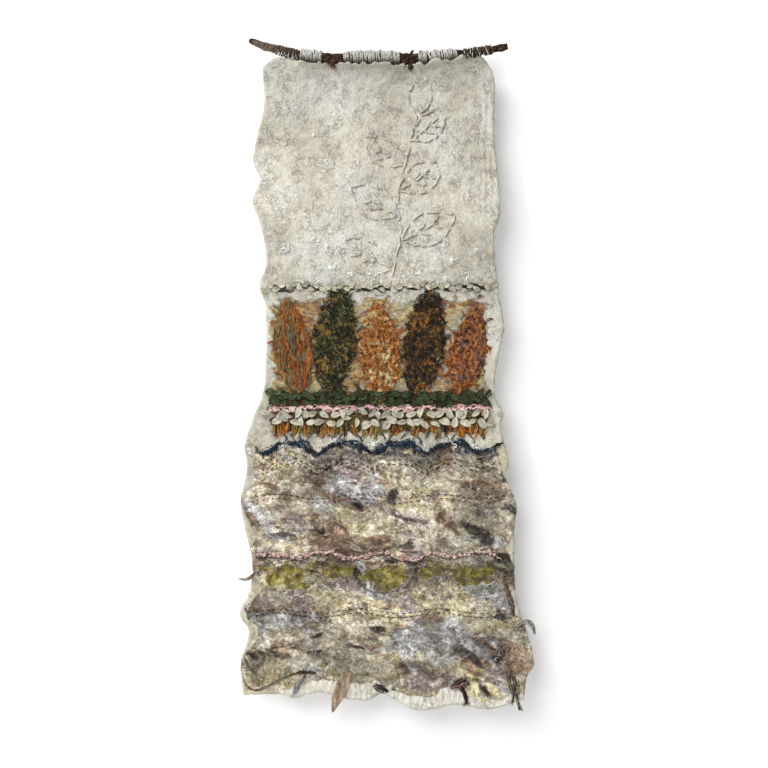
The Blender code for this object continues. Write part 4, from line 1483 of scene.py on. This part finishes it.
def petal_points(rng, x, z, length, width, turn, cup, crease, lift):
    """One small leaf-shaped petal of stiff cloth, pointed, lopsided and folded along its middle."""
    u, v = np.meshgrid(np.linspace(-1, 1, 9), np.linspace(0, 1, 15))
    lean, blunt = rng.uniform(0.7, 1.5), rng.uniform(0.60, 1.00)
    half = np.maximum(0.06, np.sin(np.pi * v ** lean) ** blunt) * width / 2
    side = 1 + rng.uniform(-0.32, 0.32) * np.sign(u)
    side = side + 0.10 * noise(v * 4, (u > 0) * 3.1 + 10 * rng.random(), 275)
    across, rise = u * half * side, (v - 0.5) * length
    across = across + rng.normal(0, 0.10) * length * (v - 0.5) ** 2 * 4
    px = x + across * math.cos(turn) - rise * math.sin(turn)
    pz = z + across * math.sin(turn) + rise * math.cos(turn)
    tip_up = rng.uniform(0.0, 1.3) * cup * v ** 2
    roll = rng.uniform(0.3, 1.5) * cup * np.clip(u * rng.choice((-1, 1)), 0, 1) ** 2 * np.sin(np.pi * v)
    fold = 0.0007 * abs(u) * np.sin(np.pi * v)
    bowl = roll + fold + crease * np.sin(3 * u + 5 * v + 6 * rng.random()) + 0.0013 * np.sin(np.pi * v)
    bowl = np.maximum(bowl + tip_up, 0)
    swell = np.sqrt(1 - 0.9 * np.maximum(abs(u), abs(2 * v - 1)) ** 4)
    ahead = front(px, pz, lift + bowl + 0.00050 * swell)
    behind = front(px[::2, ::2], pz[::2, ::2], lift - 0.0002 + bowl[::2, ::2])
    worn = rng.uniform(0.0, 0.30)
    # the rim mark: painted shade at the outer rim and along the middle fold, and a random darkening of the
    # whole petal
    rim = 0.75 * smooth((np.maximum(abs(u), abs(2 * v - 1)) - 0.70) / 0.30)
    rim = np.clip(rim + 0.40 * np.exp(-(u / 0.16) ** 2) + worn, 0, 1)
    return *sheet_points(ahead, behind), np.concatenate([rim.ravel(), rim[::2, ::2].ravel()])


def join_sheets(name, sheets, look):
    """One mesh piece from many small sheets of points, faces and rim marks."""
    points, groups, rims, count = [], [], [], 0
    for some, faces, rim in sheets:
        points.append(some)
        groups += [group + count for group in faces]
        rims.append(rim)
        count += len(some)
    quads = np.concatenate([group for group in groups if group.shape[1] == 4])
    tris = np.concatenate([group for group in groups if group.shape[1] == 3])
    return make_piece(name, np.concatenate(points), [quads, tris], look, {"rim": np.concatenate(rims)})


def make_petals():
    """Two rows of pale petals over dark wool, and a chain of small ones above the leaves."""
    rng = np.random.default_rng(271)
    petals = []
    for k, x in enumerate(np.arange(-0.144, 0.149, 0.0122)):
        for row in (-1, 1):
            turn = rng.normal(1.57 + row * 0.50 * (1 if k % 2 else -1), 0.60)
            down = PETALS_DOWN + row * 0.0054 + rng.normal(0, 0.0018)
            size = rng.uniform(0.0125, 0.0195)
            place = x + 0.0040 * row + rng.normal(0, 0.0026)
            lift = 0.0022 + 0.0009 * rng.random()
            wide = size * rng.uniform(0.46, 0.66)
            petals.append(petal_points(rng, place, down, size, wide, turn, 0.0030, crease=0.0005, lift=lift))
    silk = petal_look("silk_petals", (0.43, 0.41, 0.30), (0.75, 0.72, 0.57))
    rows = join_sheets("petals", petals, silk)
    beads = []
    for k, x in enumerate(np.arange(-0.156, 0.160, 0.0080)):
        down = CHAIN_DOWN + 0.0022 * math.sin(x / 0.0143) + 0.0021 * (-1) ** k + rng.normal(0, 0.0007)
        turn = rng.normal(1.57 + 0.40 * (-1) ** k, 0.28)
        size = rng.uniform(0.0104, 0.0136)
        beads.append(petal_points(rng, x, down, size, size * 0.58, turn, 0.0018, crease=0.0003, lift=0.0020))
    sage = petal_look("sage_petals", (0.40, 0.375, 0.26), (0.70, 0.66, 0.50))
    return [rows, join_sheets("petal_chain", beads, sage)]


def make_green_scraps():
    """Three rows of small overlapping scraps of green felt."""
    rng = np.random.default_rng(281)
    scraps = []
    for row, shift in GREEN_ROWS:
        for x in np.arange(-0.149 + shift, 0.150, 0.0124):
            turn = rng.normal(1.57, 0.70)
            long = rng.uniform(0.0125, 0.0185)
            place, lift = row + rng.normal(0, 0.0016), 0.0014 + 0.0016 * rng.random()
            spot = x + rng.normal(0, 0.002)
            wide = long * rng.uniform(0.46, 0.64)
            scraps.append(petal_points(rng, spot, place, long, wide, turn, 0.0030, crease=0.0008, lift=lift))
    green = scrap_look("green_felt", (0.020, 0.030, 0.012), (0.100, 0.130, 0.055))
    return join_sheets("green_scraps", scraps, green)


GROUND_ROWS = (  # down, spread, how many, colours, lift
    (0.3120, 0.0030, 36, ("black", "olive", "black", "brown"), 0.0003),
    (0.4630, 0.0060, 30, ("black", "brown", "green", "rust"), 0.0002),
    (PINK_DOWN, 0.0036, 20, ("black", "plum", "olive"), 0.0002),
    (0.4900, 0.0070, 34, ("ochre", "brown", "olive", "black", "ochre"), 0.0003),
)


def ground_wisps(rng, ground):
    """Loose wool under the rows of petals, scraps and yarn, and in drifts between the leaves."""
    for down, spread, many, colours, lift in GROUND_ROWS:
        for x in np.linspace(-0.142, 0.142, many):
            z = down + rng.uniform(-spread, spread)
            path = flowing(
                rng, x + rng.normal(0, 0.003), z, length=rng.uniform(0.018, 0.034),
                lean=rng.choice((0.0, math.pi)) + rng.normal(0, 0.18), bend=0.10,
            )
            wisp(
                rng, ground, path, rng.uniform(0.003, 0.006), 6, colours, lift=lift, thick=0.0012,
                radius=0.00046, wave=0.0008, curl=0.0016, count=9,
            )
    names, shares = zip(*DRIFT_WOOLS)
    for _ in range(36):
        x, z = rng.uniform(-0.148, 0.148), rng.uniform(0.328, 0.452)
        path = flowing(
            rng, x, z, length=rng.uniform(0.016, 0.034),
            lean=rng.normal(0.0, 0.45) + rng.choice((0.0, math.pi)), bend=0.16,
        )
        wide = rng.uniform(0.003, 0.008)
        wisp(
            rng, ground, path, wide, 8, names[int(rng.choice(4, p=shares))], lift=0.0002, thick=0.0011,
            radius=0.00036, wave=0.0009, curl=0.0020, count=11,
        )


def fringe_wisps(rng, fringe):
    """A fringe of locks that hang from the petals, and dark curls that leave it."""
    t = np.linspace(0, 1, 9)
    for x in np.linspace(-0.145, 0.144, 70):
        reach = rng.uniform(0.018, 0.028)
        bend = rng.normal(0, 0.0035)
        path = pair(x + rng.normal(0, 0.002) + bend * t * t, FRINGE_DOWN + reach * t)
        names = FRINGE_WOOLS[int(rng.integers(0, 3))]
        wisp(
            rng, fringe, path, rng.uniform(0.0050, 0.0088), 9, names, lift=0.0009, thick=0.0020,
            radius=0.00058, wave=0.0010, curl=0.0022, count=10,
        )
    t = np.linspace(0, 1, 14)
    for x in np.linspace(-0.136, 0.138, 17):
        side = rng.choice((-1, 1))
        reach = rng.uniform(0.008, 0.014)
        hooked = x + rng.normal(0, 0.003) + side * reach * 0.8 * np.sin(2.6 * t)
        path = pair(hooked, FRINGE_DOWN + 0.0175 + reach * 1.1 * np.sin(1.9 * t))
        wisp(
            rng, fringe, path, 0.0018, 6, ("black", "navy", "black", "slate"), lift=0.0012,
            thick=0.0012, radius=0.00042, wave=0.0004, curl=0.0012, count=14,
        )


def make_band_wool(wool):
    """Loose wool under and round the leaves and rows: grounds, wisps and a fringe."""
    rng = np.random.default_rng(286)
    ground, fringe = Strands(3), Strands(3)
    ground_wisps(rng, ground)
    fringe_wisps(rng, fringe)
    return [ground.piece("band_wool", wool), fringe.piece("fringe_wool", wool)]


# ------------------------------------------------------------ the hem's scrap and the curled locks

def make_scrap():
    """The pointed scrap of felt that hangs past the hem."""
    u, v = np.meshgrid(spaced(20, 0.018, 0.0003), spaced(60, 0.058, 0.0004))
    half = np.interp(v, (0, 0.33, 0.66, 0.92, 1), (0.0060, 0.0092, 0.0080, 0.0030, 0.0008))
    rag = 1 + 0.06 * noise(v * 9, (u > 0.5) * 3.1, 291)
    x = mix(SCRAP_TOP[0], SCRAP_TIP[0], v) + (2 * u - 1) * half * rag
    z = mix(SCRAP_TOP[1], SCRAP_TIP[1], v)
    wave = 0.0012 * np.sin(u * 5.0 + 1.0) + 0.0005 * noise(u * 5, v * 9, 292)
    forward = 0.0012 + SCRAP_LIFT * v * v + wave * smooth(v / 0.3)
    forward = np.maximum(forward, 0.0004)
    ahead, behind = front(x, z, forward + 0.0009), front(x[::2, ::2], z[::2, ::2], forward[::2, ::2])
    points, faces = sheet_points(ahead, behind)
    look = scrap_look("hem_scrap_felt", (0.20, 0.135, 0.085), (0.44, 0.335, 0.235))
    piece = make_piece("scrap_felt", points, faces, look)
    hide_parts("scrap_hem")
    return piece


LOCK_FIBRES = 26
LOCK_WOOLS = (  # node, colours, how far its ends flare
    ("lock_right", ("taupe", "grey", "brown", "stone", "grey"), 0.0004),
    ("lock_left", ("brown", "taupe", "grey", "taupe"), 0.0010),
    ("lock_hem", ("brown", "black", "taupe"), 0.0014),
)


def make_lock(number, node, wool, colours, ends):
    """A curled lock: a bundle of wavy fibres that follows the construction's line."""
    rng = np.random.default_rng(300 + number)
    rows = LOCKS[node]
    table = [(k, *row) for k, row in enumerate(rows)]
    t = np.linspace(0, len(rows) - 1, 40)
    path = follow(table, t)
    strands = Strands(5)
    part = t / t[-1]
    for k in range(LOCK_FIBRES):
        turn = 2 * np.pi * (k / LOCK_FIBRES + part * 0.9) + 0.5 * noise(part * 6, k, 310 + number)
        reach = path[:, 3] * math.sqrt((k % 5 + 0.6) / 5)
        flare = ends * smooth((part - 0.72) / 0.28) * rng.normal(0, 1)
        x = path[:, 0] + reach * np.cos(turn) + flare
        z = path[:, 1] + reach * np.sin(turn) + 0.3 * flare
        forward = path[:, 2] + path[:, 3] + reach * np.sin(turn * 1.3 + k)
        thick = 0.00062 * np.clip(path[:, 3] / 0.0025, 0.4, 1.3)
        strands.add([front(x, z, np.maximum(forward, 0.0002))], thick, tone(str(rng.choice(colours))))
    piece = strands.piece(node + "_wool", wool)
    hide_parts(node)
    return piece


# ------------------------------------------------------------ the branch and what is wound on it

def branch_frame(along):
    """Points on the branch's axis, its radius there, and two directions across it."""
    back, up, radius = np.moveaxis(follow(BRANCH, along), -1, 0)
    axis = np.stack([along, back, up], axis=-1)
    way = unit(np.gradient(axis, axis=0))
    over = unit(np.cross(way, (0.0, 1.0, 0.0)))
    return axis, radius, over, np.cross(way, over)


BRANCH_SIDES, STUB_SIDES = 34, 22
NODE_PLACES = (-0.1545, -0.0700, 0.0365, 0.1085, 0.1660)  # along, where twigs once grew


def make_branch():
    """The twig: ridged bark with warts and nodes, lichen at its left end, and three cut stubs."""
    first, last = BRANCH[0][0], BRANCH[-1][0]
    along = np.linspace(first, last, 260)
    axis, radius, over, aside = branch_frame(along)
    turn = np.arange(BRANCH_SIDES) * 2 * np.pi / BRANCH_SIDES
    s, a = along[:, None], turn[None, :]
    ridges = 0.00050 * noise(s / 0.010, 4 * np.cos(a) + 9, 321)
    ridges = ridges + 0.00040 * noise(s / 0.005, 4 * np.sin(a) + 9, 322)
    warts = noise(s / 0.0035, 4 * np.cos(a) + 3, 323) * noise(s / 0.004, 4 * np.sin(a) + 5, 324)
    warts = 0.0012 * np.maximum(warts, 0)
    nodes = sum(0.0009 * np.exp(-((s - place) / 0.0028) ** 2) for place in NODE_PLACES)
    knob = 0.0022 * np.exp(-((s - 0.0345) / 0.0045) ** 2 - ((np.mod(a + 0.6, 2 * np.pi) - np.pi) / 0.7) ** 2)
    reach = radius[:, None] + ridges + warts + nodes + knob
    reach = reach + (0.0016 * np.exp(-((along - first) / 0.0080) ** 2))[:, None]
    reach[0] *= 0.6
    rings = axis[:, None] + reach[..., None] * (
        np.cos(turn)[None, :, None] * over[:, None] + np.sin(turn)[None, :, None] * aside[:, None]
    )
    index = np.arange(rings[..., 0].size).reshape(rings.shape[:2])
    after = np.roll(index, -1, axis=1)
    quads = np.stack([c.ravel() for c in (index[:-1], after[:-1], after[1:], index[1:])], 1)
    centres = index.size + np.arange(2)
    middles = axis[[0, -1]] + (last - first) * np.array([[-0.0016, 0, 0], [-0.0008, 0, 0]])
    start = np.stack([np.full(BRANCH_SIDES, centres[0]), after[0], index[0]], 1)
    stop = np.stack([np.full(BRANCH_SIDES, centres[1]), index[-1], after[-1]], 1)
    lichen = np.repeat(smooth((-0.132 - along) / 0.022) * smooth((along + 0.1745) / 0.006), BRANCH_SIDES)
    cut = np.zeros(len(lichen))
    marks = {"lichen": np.concatenate([lichen, [0.0, 0.0]]), "cut": np.concatenate([cut, [0.0, 0.5]])}
    look = bark_look()
    points = np.concatenate([rings.reshape(-1, 3), middles])
    branch = make_piece("twig", points, [quads, start, stop], look, marks)
    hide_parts("branch")
    for number, stub in enumerate(STUBS, 1):
        make_stub(number, stub, look)


def make_stub(number, stub, look):
    """A short side twig, cut off."""
    x, up, tip_x, tip_up, forward, radius = stub
    t = np.linspace(0, 1, 26)
    line = np.array((x, 0.0, up)) + np.outer(t, (tip_x - x, -forward, tip_up - up))
    strands = Strands(STUB_SIDES)
    thick = radius * (1.30 - 0.26 * smooth(t)) * (1 + 0.12 * noise(t * 6, number, 331))
    ends = np.sqrt(np.clip((1 - t) / 0.10, 0.30, 1.0))
    strands.add([line], thick * ends, 0.5)
    piece = strands.piece(f"twig_stub_{number}", look)
    layer = piece.data.attributes.new("cut", "FLOAT", "POINT")
    last_ring = smooth((t - 0.93) / 0.05) * (0.8 if number == 1 else 0.15)
    layer.data.foreach_set("value", np.repeat(last_ring, STUB_SIDES).astype(np.float32))


WINDINGS = (("winding_left", 341), ("winding_middle", 351), ("winding_right", 361))  # node, seed
GAP = 0.0690  # along, where the right winding's turns part


def wound(first, last, pitch, off, seed, step, untidy, slant=0.0, barrel=0.0):
    """A line wound round the branch, its turns a pitch apart, how far it faces out, and its angle."""
    turns = (last - first) / pitch
    count = int(turns * 2 * math.pi * 0.0085 / step)
    part = np.linspace(0, 1, count)
    angle = part * turns * 2 * math.pi
    along = first + (last - first) * part + untidy * pitch * noise(angle / 2.9, 0.5, seed)
    leaning = np.sin(angle + 5.0 * noise(angle / 23.0, 0.5, seed + 2))
    along += slant * pitch * leaning * noise(angle / 11.0, 0.5, seed + 3)
    along = np.clip(along, first, last)
    samples = np.linspace(BRANCH[0][0], BRANCH[-1][0], 700)
    axis, radius, over, aside = branch_frame(samples)

    def at(values):
        return np.stack([np.interp(along, samples, values[:, k]) for k in range(3)], axis=1)

    rounded = 1 - barrel * abs(2 * part - 1) ** 6
    reach = np.interp(along, samples, radius) + off * rounded * (1 + 0.22 * noise(angle / 4.1, 3.5, seed + 1))
    out = np.cos(angle)[:, None] * at(over) + np.sin(angle)[:, None] * at(aside)
    return at(axis) + reach[:, None] * out, out, angle


def make_windings(wool):
    """Pale yarn in uneven turns, a close layer and a loose one, with painted shade on their undersides and
    darker in random patches.
    """
    for (node, seed), (first, last) in zip(WINDINGS, WOUND):
        yarn = Strands(5)
        for pitch, off, untidy, slant in ((0.00275, 0.0019, 0.45, 0.5), (0.00640, 0.0030, 0.90, 1.6)):
            line, out, angle = wound(
                first + 0.0013, last - 0.0013, pitch=pitch, off=off, seed=seed + int(pitch * 1e4),
                step=0.0020, untidy=untidy, slant=slant, barrel=0.6,
            )
            part = 0.0017 * np.tanh((line[:, 0] - GAP) / 0.0010) * np.exp(-((line[:, 0] - GAP) / 0.006) ** 2)
            line[:, 0] += part * (0.75 - 0.45 * out[:, 2])
            aside = np.cross(unit(np.gradient(line, axis=0)), out)
            # painted shade: darker on the undersides of the turns, with random darker patches
            shade_and_soil = 0.88 * smooth((0.30 - out[:, 2]) / 1.05)
            shade_and_soil = shade_and_soil + 0.30 * smooth(-0.1 - noise(angle / 1.9, 0.5, seed + 7))
            for ply in range(2):
                twist = angle * 5.2 + ply * np.pi
                places = line + 0.00058 * (np.cos(twist)[:, None] * out + np.sin(twist)[:, None] * aside)
                thick = 0.00082 * (1 + 0.18 * noise(angle / 1.7, ply, seed + 5))
                yarn.add([places], thick, tone("stone"), shade_and_soil)
        piece = yarn.piece(node + "_yarn", wool)
        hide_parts(node)


def make_left_thread(wool):
    """Dark brown thread wound at the left, with pale knots below and a thin pale thread over it."""
    rng = np.random.default_rng(371)
    thread = Strands(5)
    line, out, angle = wound(-0.1396, -0.1099, pitch=0.00230, off=0.0007, seed=372, step=0.0014, untidy=0.45)
    thick = 0.00085 * (1 + 0.30 * noise(angle / 1.3, 0.5, 373))
    thread.add([line], thick, tone("brown"), 0.4 + 0.4 * noise(angle / 0.9, 0.5, 374))
    for k in np.flatnonzero((out[:, 2] < -0.45) & (out[:, 1] < -0.35)):
        if rng.random() < 0.34:
            place = line[k] + 0.0005 * out[k]
            bead = place + np.outer(np.linspace(-1, 1, 7), (0.0007, 0.0, 0.0003 * rng.normal()))
            ends = np.sqrt(np.clip(1 - np.linspace(-0.96, 0.96, 7) ** 2, 0, 1))
            thread.add([bead], 0.00085 * ends, tone(str(rng.choice(("white", "mauve", "white", "pink")))))
    line, out, angle = wound(
        -0.1390, -0.1105, pitch=0.00360, off=0.0013, seed=377, step=0.0012, untidy=0.8, slant=1.2,
    )
    thick = 0.00055 * (1 + 0.45 * noise(angle / 0.8, 0.5, 378))
    hidden = 0.95 - 0.95 * smooth((0.05 - out[:, 2]) / 0.5) * smooth(0.5 + 2.4 * noise(angle / 0.5, 0.5, 379))
    thread.add([line], thick, tone("white"), hidden)
    piece = thread.piece("thread_left_turns", wool)
    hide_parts("thread_left")


RIGHT_THREADS = (  # pitch, how far off the bark, colour, radius, slant
    (0.0019, 0.0006, "black", 0.00095, 1.4),
    (0.0031, 0.0014, "brown", 0.00090, 1.4),
    (0.0036, 0.0020, "white", 0.00046, 0.5),
)


def make_right_thread(wool):
    """A lumpy wrap of dark threads at the right, with bright bits."""
    thread = Strands(5)
    for pitch, off, colour, radius, slant in RIGHT_THREADS:
        line, _, angle = wound(
            0.1160, 0.1540, pitch=pitch, off=off, seed=381 + int(pitch * 1e4), step=0.0013, untidy=0.9,
            slant=slant,
        )
        thick = radius * (1 + 0.45 * noise(angle / 0.9, 0.5, 385))
        hidden = 0.0 if colour != "white" else 0.97 * smooth(0.7 + 3 * noise(angle / 0.55, 0.5, 387))
        thread.add([line], thick, tone(colour), hidden)
    piece = thread.piece("thread_right_turns", wool)
    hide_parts("thread_right")


HEM_LOCKS = (  # path of (along, down), width, how many fibres, colours, thickness, curl
    (((-0.009, 0.853), (0.000, 0.856), (0.013, 0.862)),
     0.0085, 34, ("black", "brown", "black"), 0.0035, 0.001),
    (((0.096, 0.857), (0.104, 0.853), (0.115, 0.848), (0.124, 0.846)),
     0.0120, 46, ("black", "brown", "black", "pink"), 0.0040, 0.004),
    (((0.106, 0.846), (0.112, 0.856), (0.117, 0.868), (0.121, 0.881)),
     0.0050, 22, ("black", "brown"), 0.0030, 0.003),
    (((0.136, 0.853), (0.144, 0.862), (0.152, 0.866)),
     0.0060, 18, ("brown", "taupe", "black"), 0.0020, 0.002),
    (((-0.186, 0.838), (-0.181, 0.853), (-0.166, 0.859), (-0.146, 0.851), (-0.120, 0.838), (-0.085, 0.835)),
     0.0030, 34, ("taupe", "brown", "moss", "brown"), 0.0012, 0.001),
    (((-0.122, 0.838), (-0.104, 0.834), (-0.084, 0.835)),
     0.0036, 22, ("brown", "black", "brown"), 0.0014, 0.001),
    (((-0.184, 0.812), (-0.174, 0.832), (-0.164, 0.828), (-0.153, 0.808), (-0.138, 0.796)),
     0.0040, 24, ("taupe", "moss", "brown"), 0.0012, 0.002),
    (((-0.070, 0.836), (-0.040, 0.840), (-0.012, 0.836)),
     0.0034, 18, ("mustard", "taupe", "moss"), 0.0010, 0.002),
    (((0.168, 0.700), (0.173, 0.722), (0.181, 0.744), (0.184, 0.760)),
     0.0060, 30, ("brown", "taupe", "brown", "plum"), 0.0016, 0.002),
    (((-0.118, 0.868), (-0.110, 0.852), (-0.100, 0.838)),
     0.0075, 30, ("slate", "grey", "stone"), 0.0016, 0.001),
    (((0.178, 0.828), (0.176, 0.846), (0.182, 0.864), (0.180, 0.880)),
     0.0040, 18, ("brown", "black", "taupe"), 0.0030, 0.003),
)


def make_hem_extras(wool):
    """Small dark and pale locks along the hem and the edges."""
    rng = np.random.default_rng(401)
    locks = Strands(3)
    for path, wide, many, colours, thick, curl in HEM_LOCKS:
        table = [(k, *place) for k, place in enumerate(path)]
        line = follow(table, np.linspace(0, len(path) - 1, 16))
        wisp(
            rng, locks, line, wide, int(1.3 * many), colours, lift=0.0004, thick=thick, radius=0.00040,
            wave=0.0011, curl=curl, count=13,
        )
    for edge, side, places in (
        (right_edge, -1, (0.363, 0.479, 0.562, 0.809)), (left_edge, 1, (0.420, 0.545, 0.735)),
    ):
        for z in places:
            x = float(edge(z)) + side * 0.003 + rng.normal(0, 0.0012, 12)
            boucle(
                rng, locks, x, z + rng.normal(0, 0.005, 12), ("white", "cream"), length=0.0090,
                radius=0.00045, lift=0.0002, thick=0.0012,
            )
    return locks.piece("edge_locks", wool)


# ------------------------------------------------------------ building it all

wool = wool_look("dyed_wool", 0.42, 1.62)
yarn_wool = wool_look("yarn_wool", 0.74, 1.24)
felt = make_felt()
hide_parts("felt_panel")
felt_material = felt.data.materials[0]
on_felt = make_band_wool(wool)
for number, leaf in enumerate(LEAVES):
    leaf_locks = Strands(3)
    on_felt.append(make_leaf(number, leaf, leaf_locks))
    on_felt.append(leaf_locks.piece(leaf[0] + "_locks", wool))
on_felt += make_tucks(felt_material, wool)
on_felt.append(make_curls(wool))
on_felt.append(make_marl_fibres(wool))
on_felt += make_yarns(wool)
on_felt.append(make_stitches(wool))
on_felt += make_petals()
on_felt.append(make_green_scraps())
on_felt.append(make_hem_extras(wool))
make_scrap()
for number, (node, colours, ends) in enumerate(LOCK_WOOLS):
    on_felt.append(make_lock(number, node, wool, colours, ends))
make_branch()
make_windings(yarn_wool)
make_left_thread(yarn_wool)
make_right_thread(yarn_wool)

# ------------------------------------------------------------ the room, the camera and the lights

CAMERA_FAR = 4.2
VIEW_WIDE = 1.0445  # how much of the object's plane the picture shows
AIM = (0.0065, -0.4430)  # X and Z at the picture's middle
WALL_BACK = 0.040
FLOOR_DOWN = -1.25


def plane(name, corners, colour, glow=0.0, one_sided=False):
    """A flat part of the room. One that is one-sided can be seen through from behind."""
    mesh = bpy.data.meshes.new(name)
    mesh.from_pydata(corners, [], [tuple(range(len(corners)))])
    flat = bpy.data.objects.new(name, mesh)
    bpy.context.scene.collection.objects.link(flat)
    look = Look(name + "_paint", 0.95, 0.0)
    look.shader.inputs["Base Color"].default_value = (*colour, 1.0)
    look.shader.inputs["Emission Color"].default_value = (1, 1, 1, 1)
    look.shader.inputs["Emission Strength"].default_value = glow
    if one_sided:
        back = look.node("NewGeometry", {}).outputs["Backfacing"]
        clear = look.node("BsdfTransparent", {}).outputs[0]
        output = look.nodes["Material Output"]
        both = look.node("MixShader", {0: back, 1: look.shader.outputs[0], 2: clear})
        look.links.new(both.outputs[0], output.inputs["Surface"])
    mesh.materials.append(look.material)


low_left, low_right = (-3, WALL_BACK, FLOOR_DOWN), (3, WALL_BACK, FLOOR_DOWN)
wall_corners = [low_left, low_right, (3, WALL_BACK, 2), (-3, WALL_BACK, 2)]
plane("wall", wall_corners, (0.9, 0.9, 0.9), glow=0.17, one_sided=True)
floor_corners = [(-3, -6, FLOOR_DOWN), (3, -6, FLOOR_DOWN), (3, 3, FLOOR_DOWN), (-3, 3, FLOOR_DOWN)]
plane("floor", floor_corners, (0.8, 0.8, 0.8))

world = bpy.data.worlds.new("soft_room")
bpy.context.scene.world = world
world.use_nodes = True
world.node_tree.nodes["Background"].inputs["Color"].default_value = (1, 1, 1, 1)
world.node_tree.nodes["Background"].inputs["Strength"].default_value = 0.30


def soft_light(name, place, aim, wide, power):
    """A round lamp at a place, turned to its aim."""
    lamp = bpy.data.lights.new(name, "AREA")
    lamp.shape = "DISK"
    lamp.size = wide
    lamp.energy = power
    light = bpy.data.objects.new(name, lamp)
    bpy.context.scene.collection.objects.link(light)
    light.location = place
    light.rotation_euler = (Vector(aim) - Vector(place)).to_track_quat("-Z", "Y").to_euler()


soft_light("key", (-1.5, -3.0, 1.2), (0.0, 0.0, -0.42), 3.0, 95)
soft_light("skim", (-1.7, -1.25, 2.0), (0.0, 0.0, -0.42), 0.6, 48)

lens = bpy.data.cameras.new("camera")
lens.sensor_width = 36.0
lens.lens = 36.0 * CAMERA_FAR / VIEW_WIDE
camera = bpy.data.objects.new("camera", lens)
camera.location = (AIM[0], -CAMERA_FAR, AIM[1])
camera.rotation_euler = (math.pi / 2, 0, 0)
bpy.context.scene.collection.objects.link(camera)
bpy.context.scene.camera = camera
bpy.context.scene.view_settings.view_transform = "Standard"
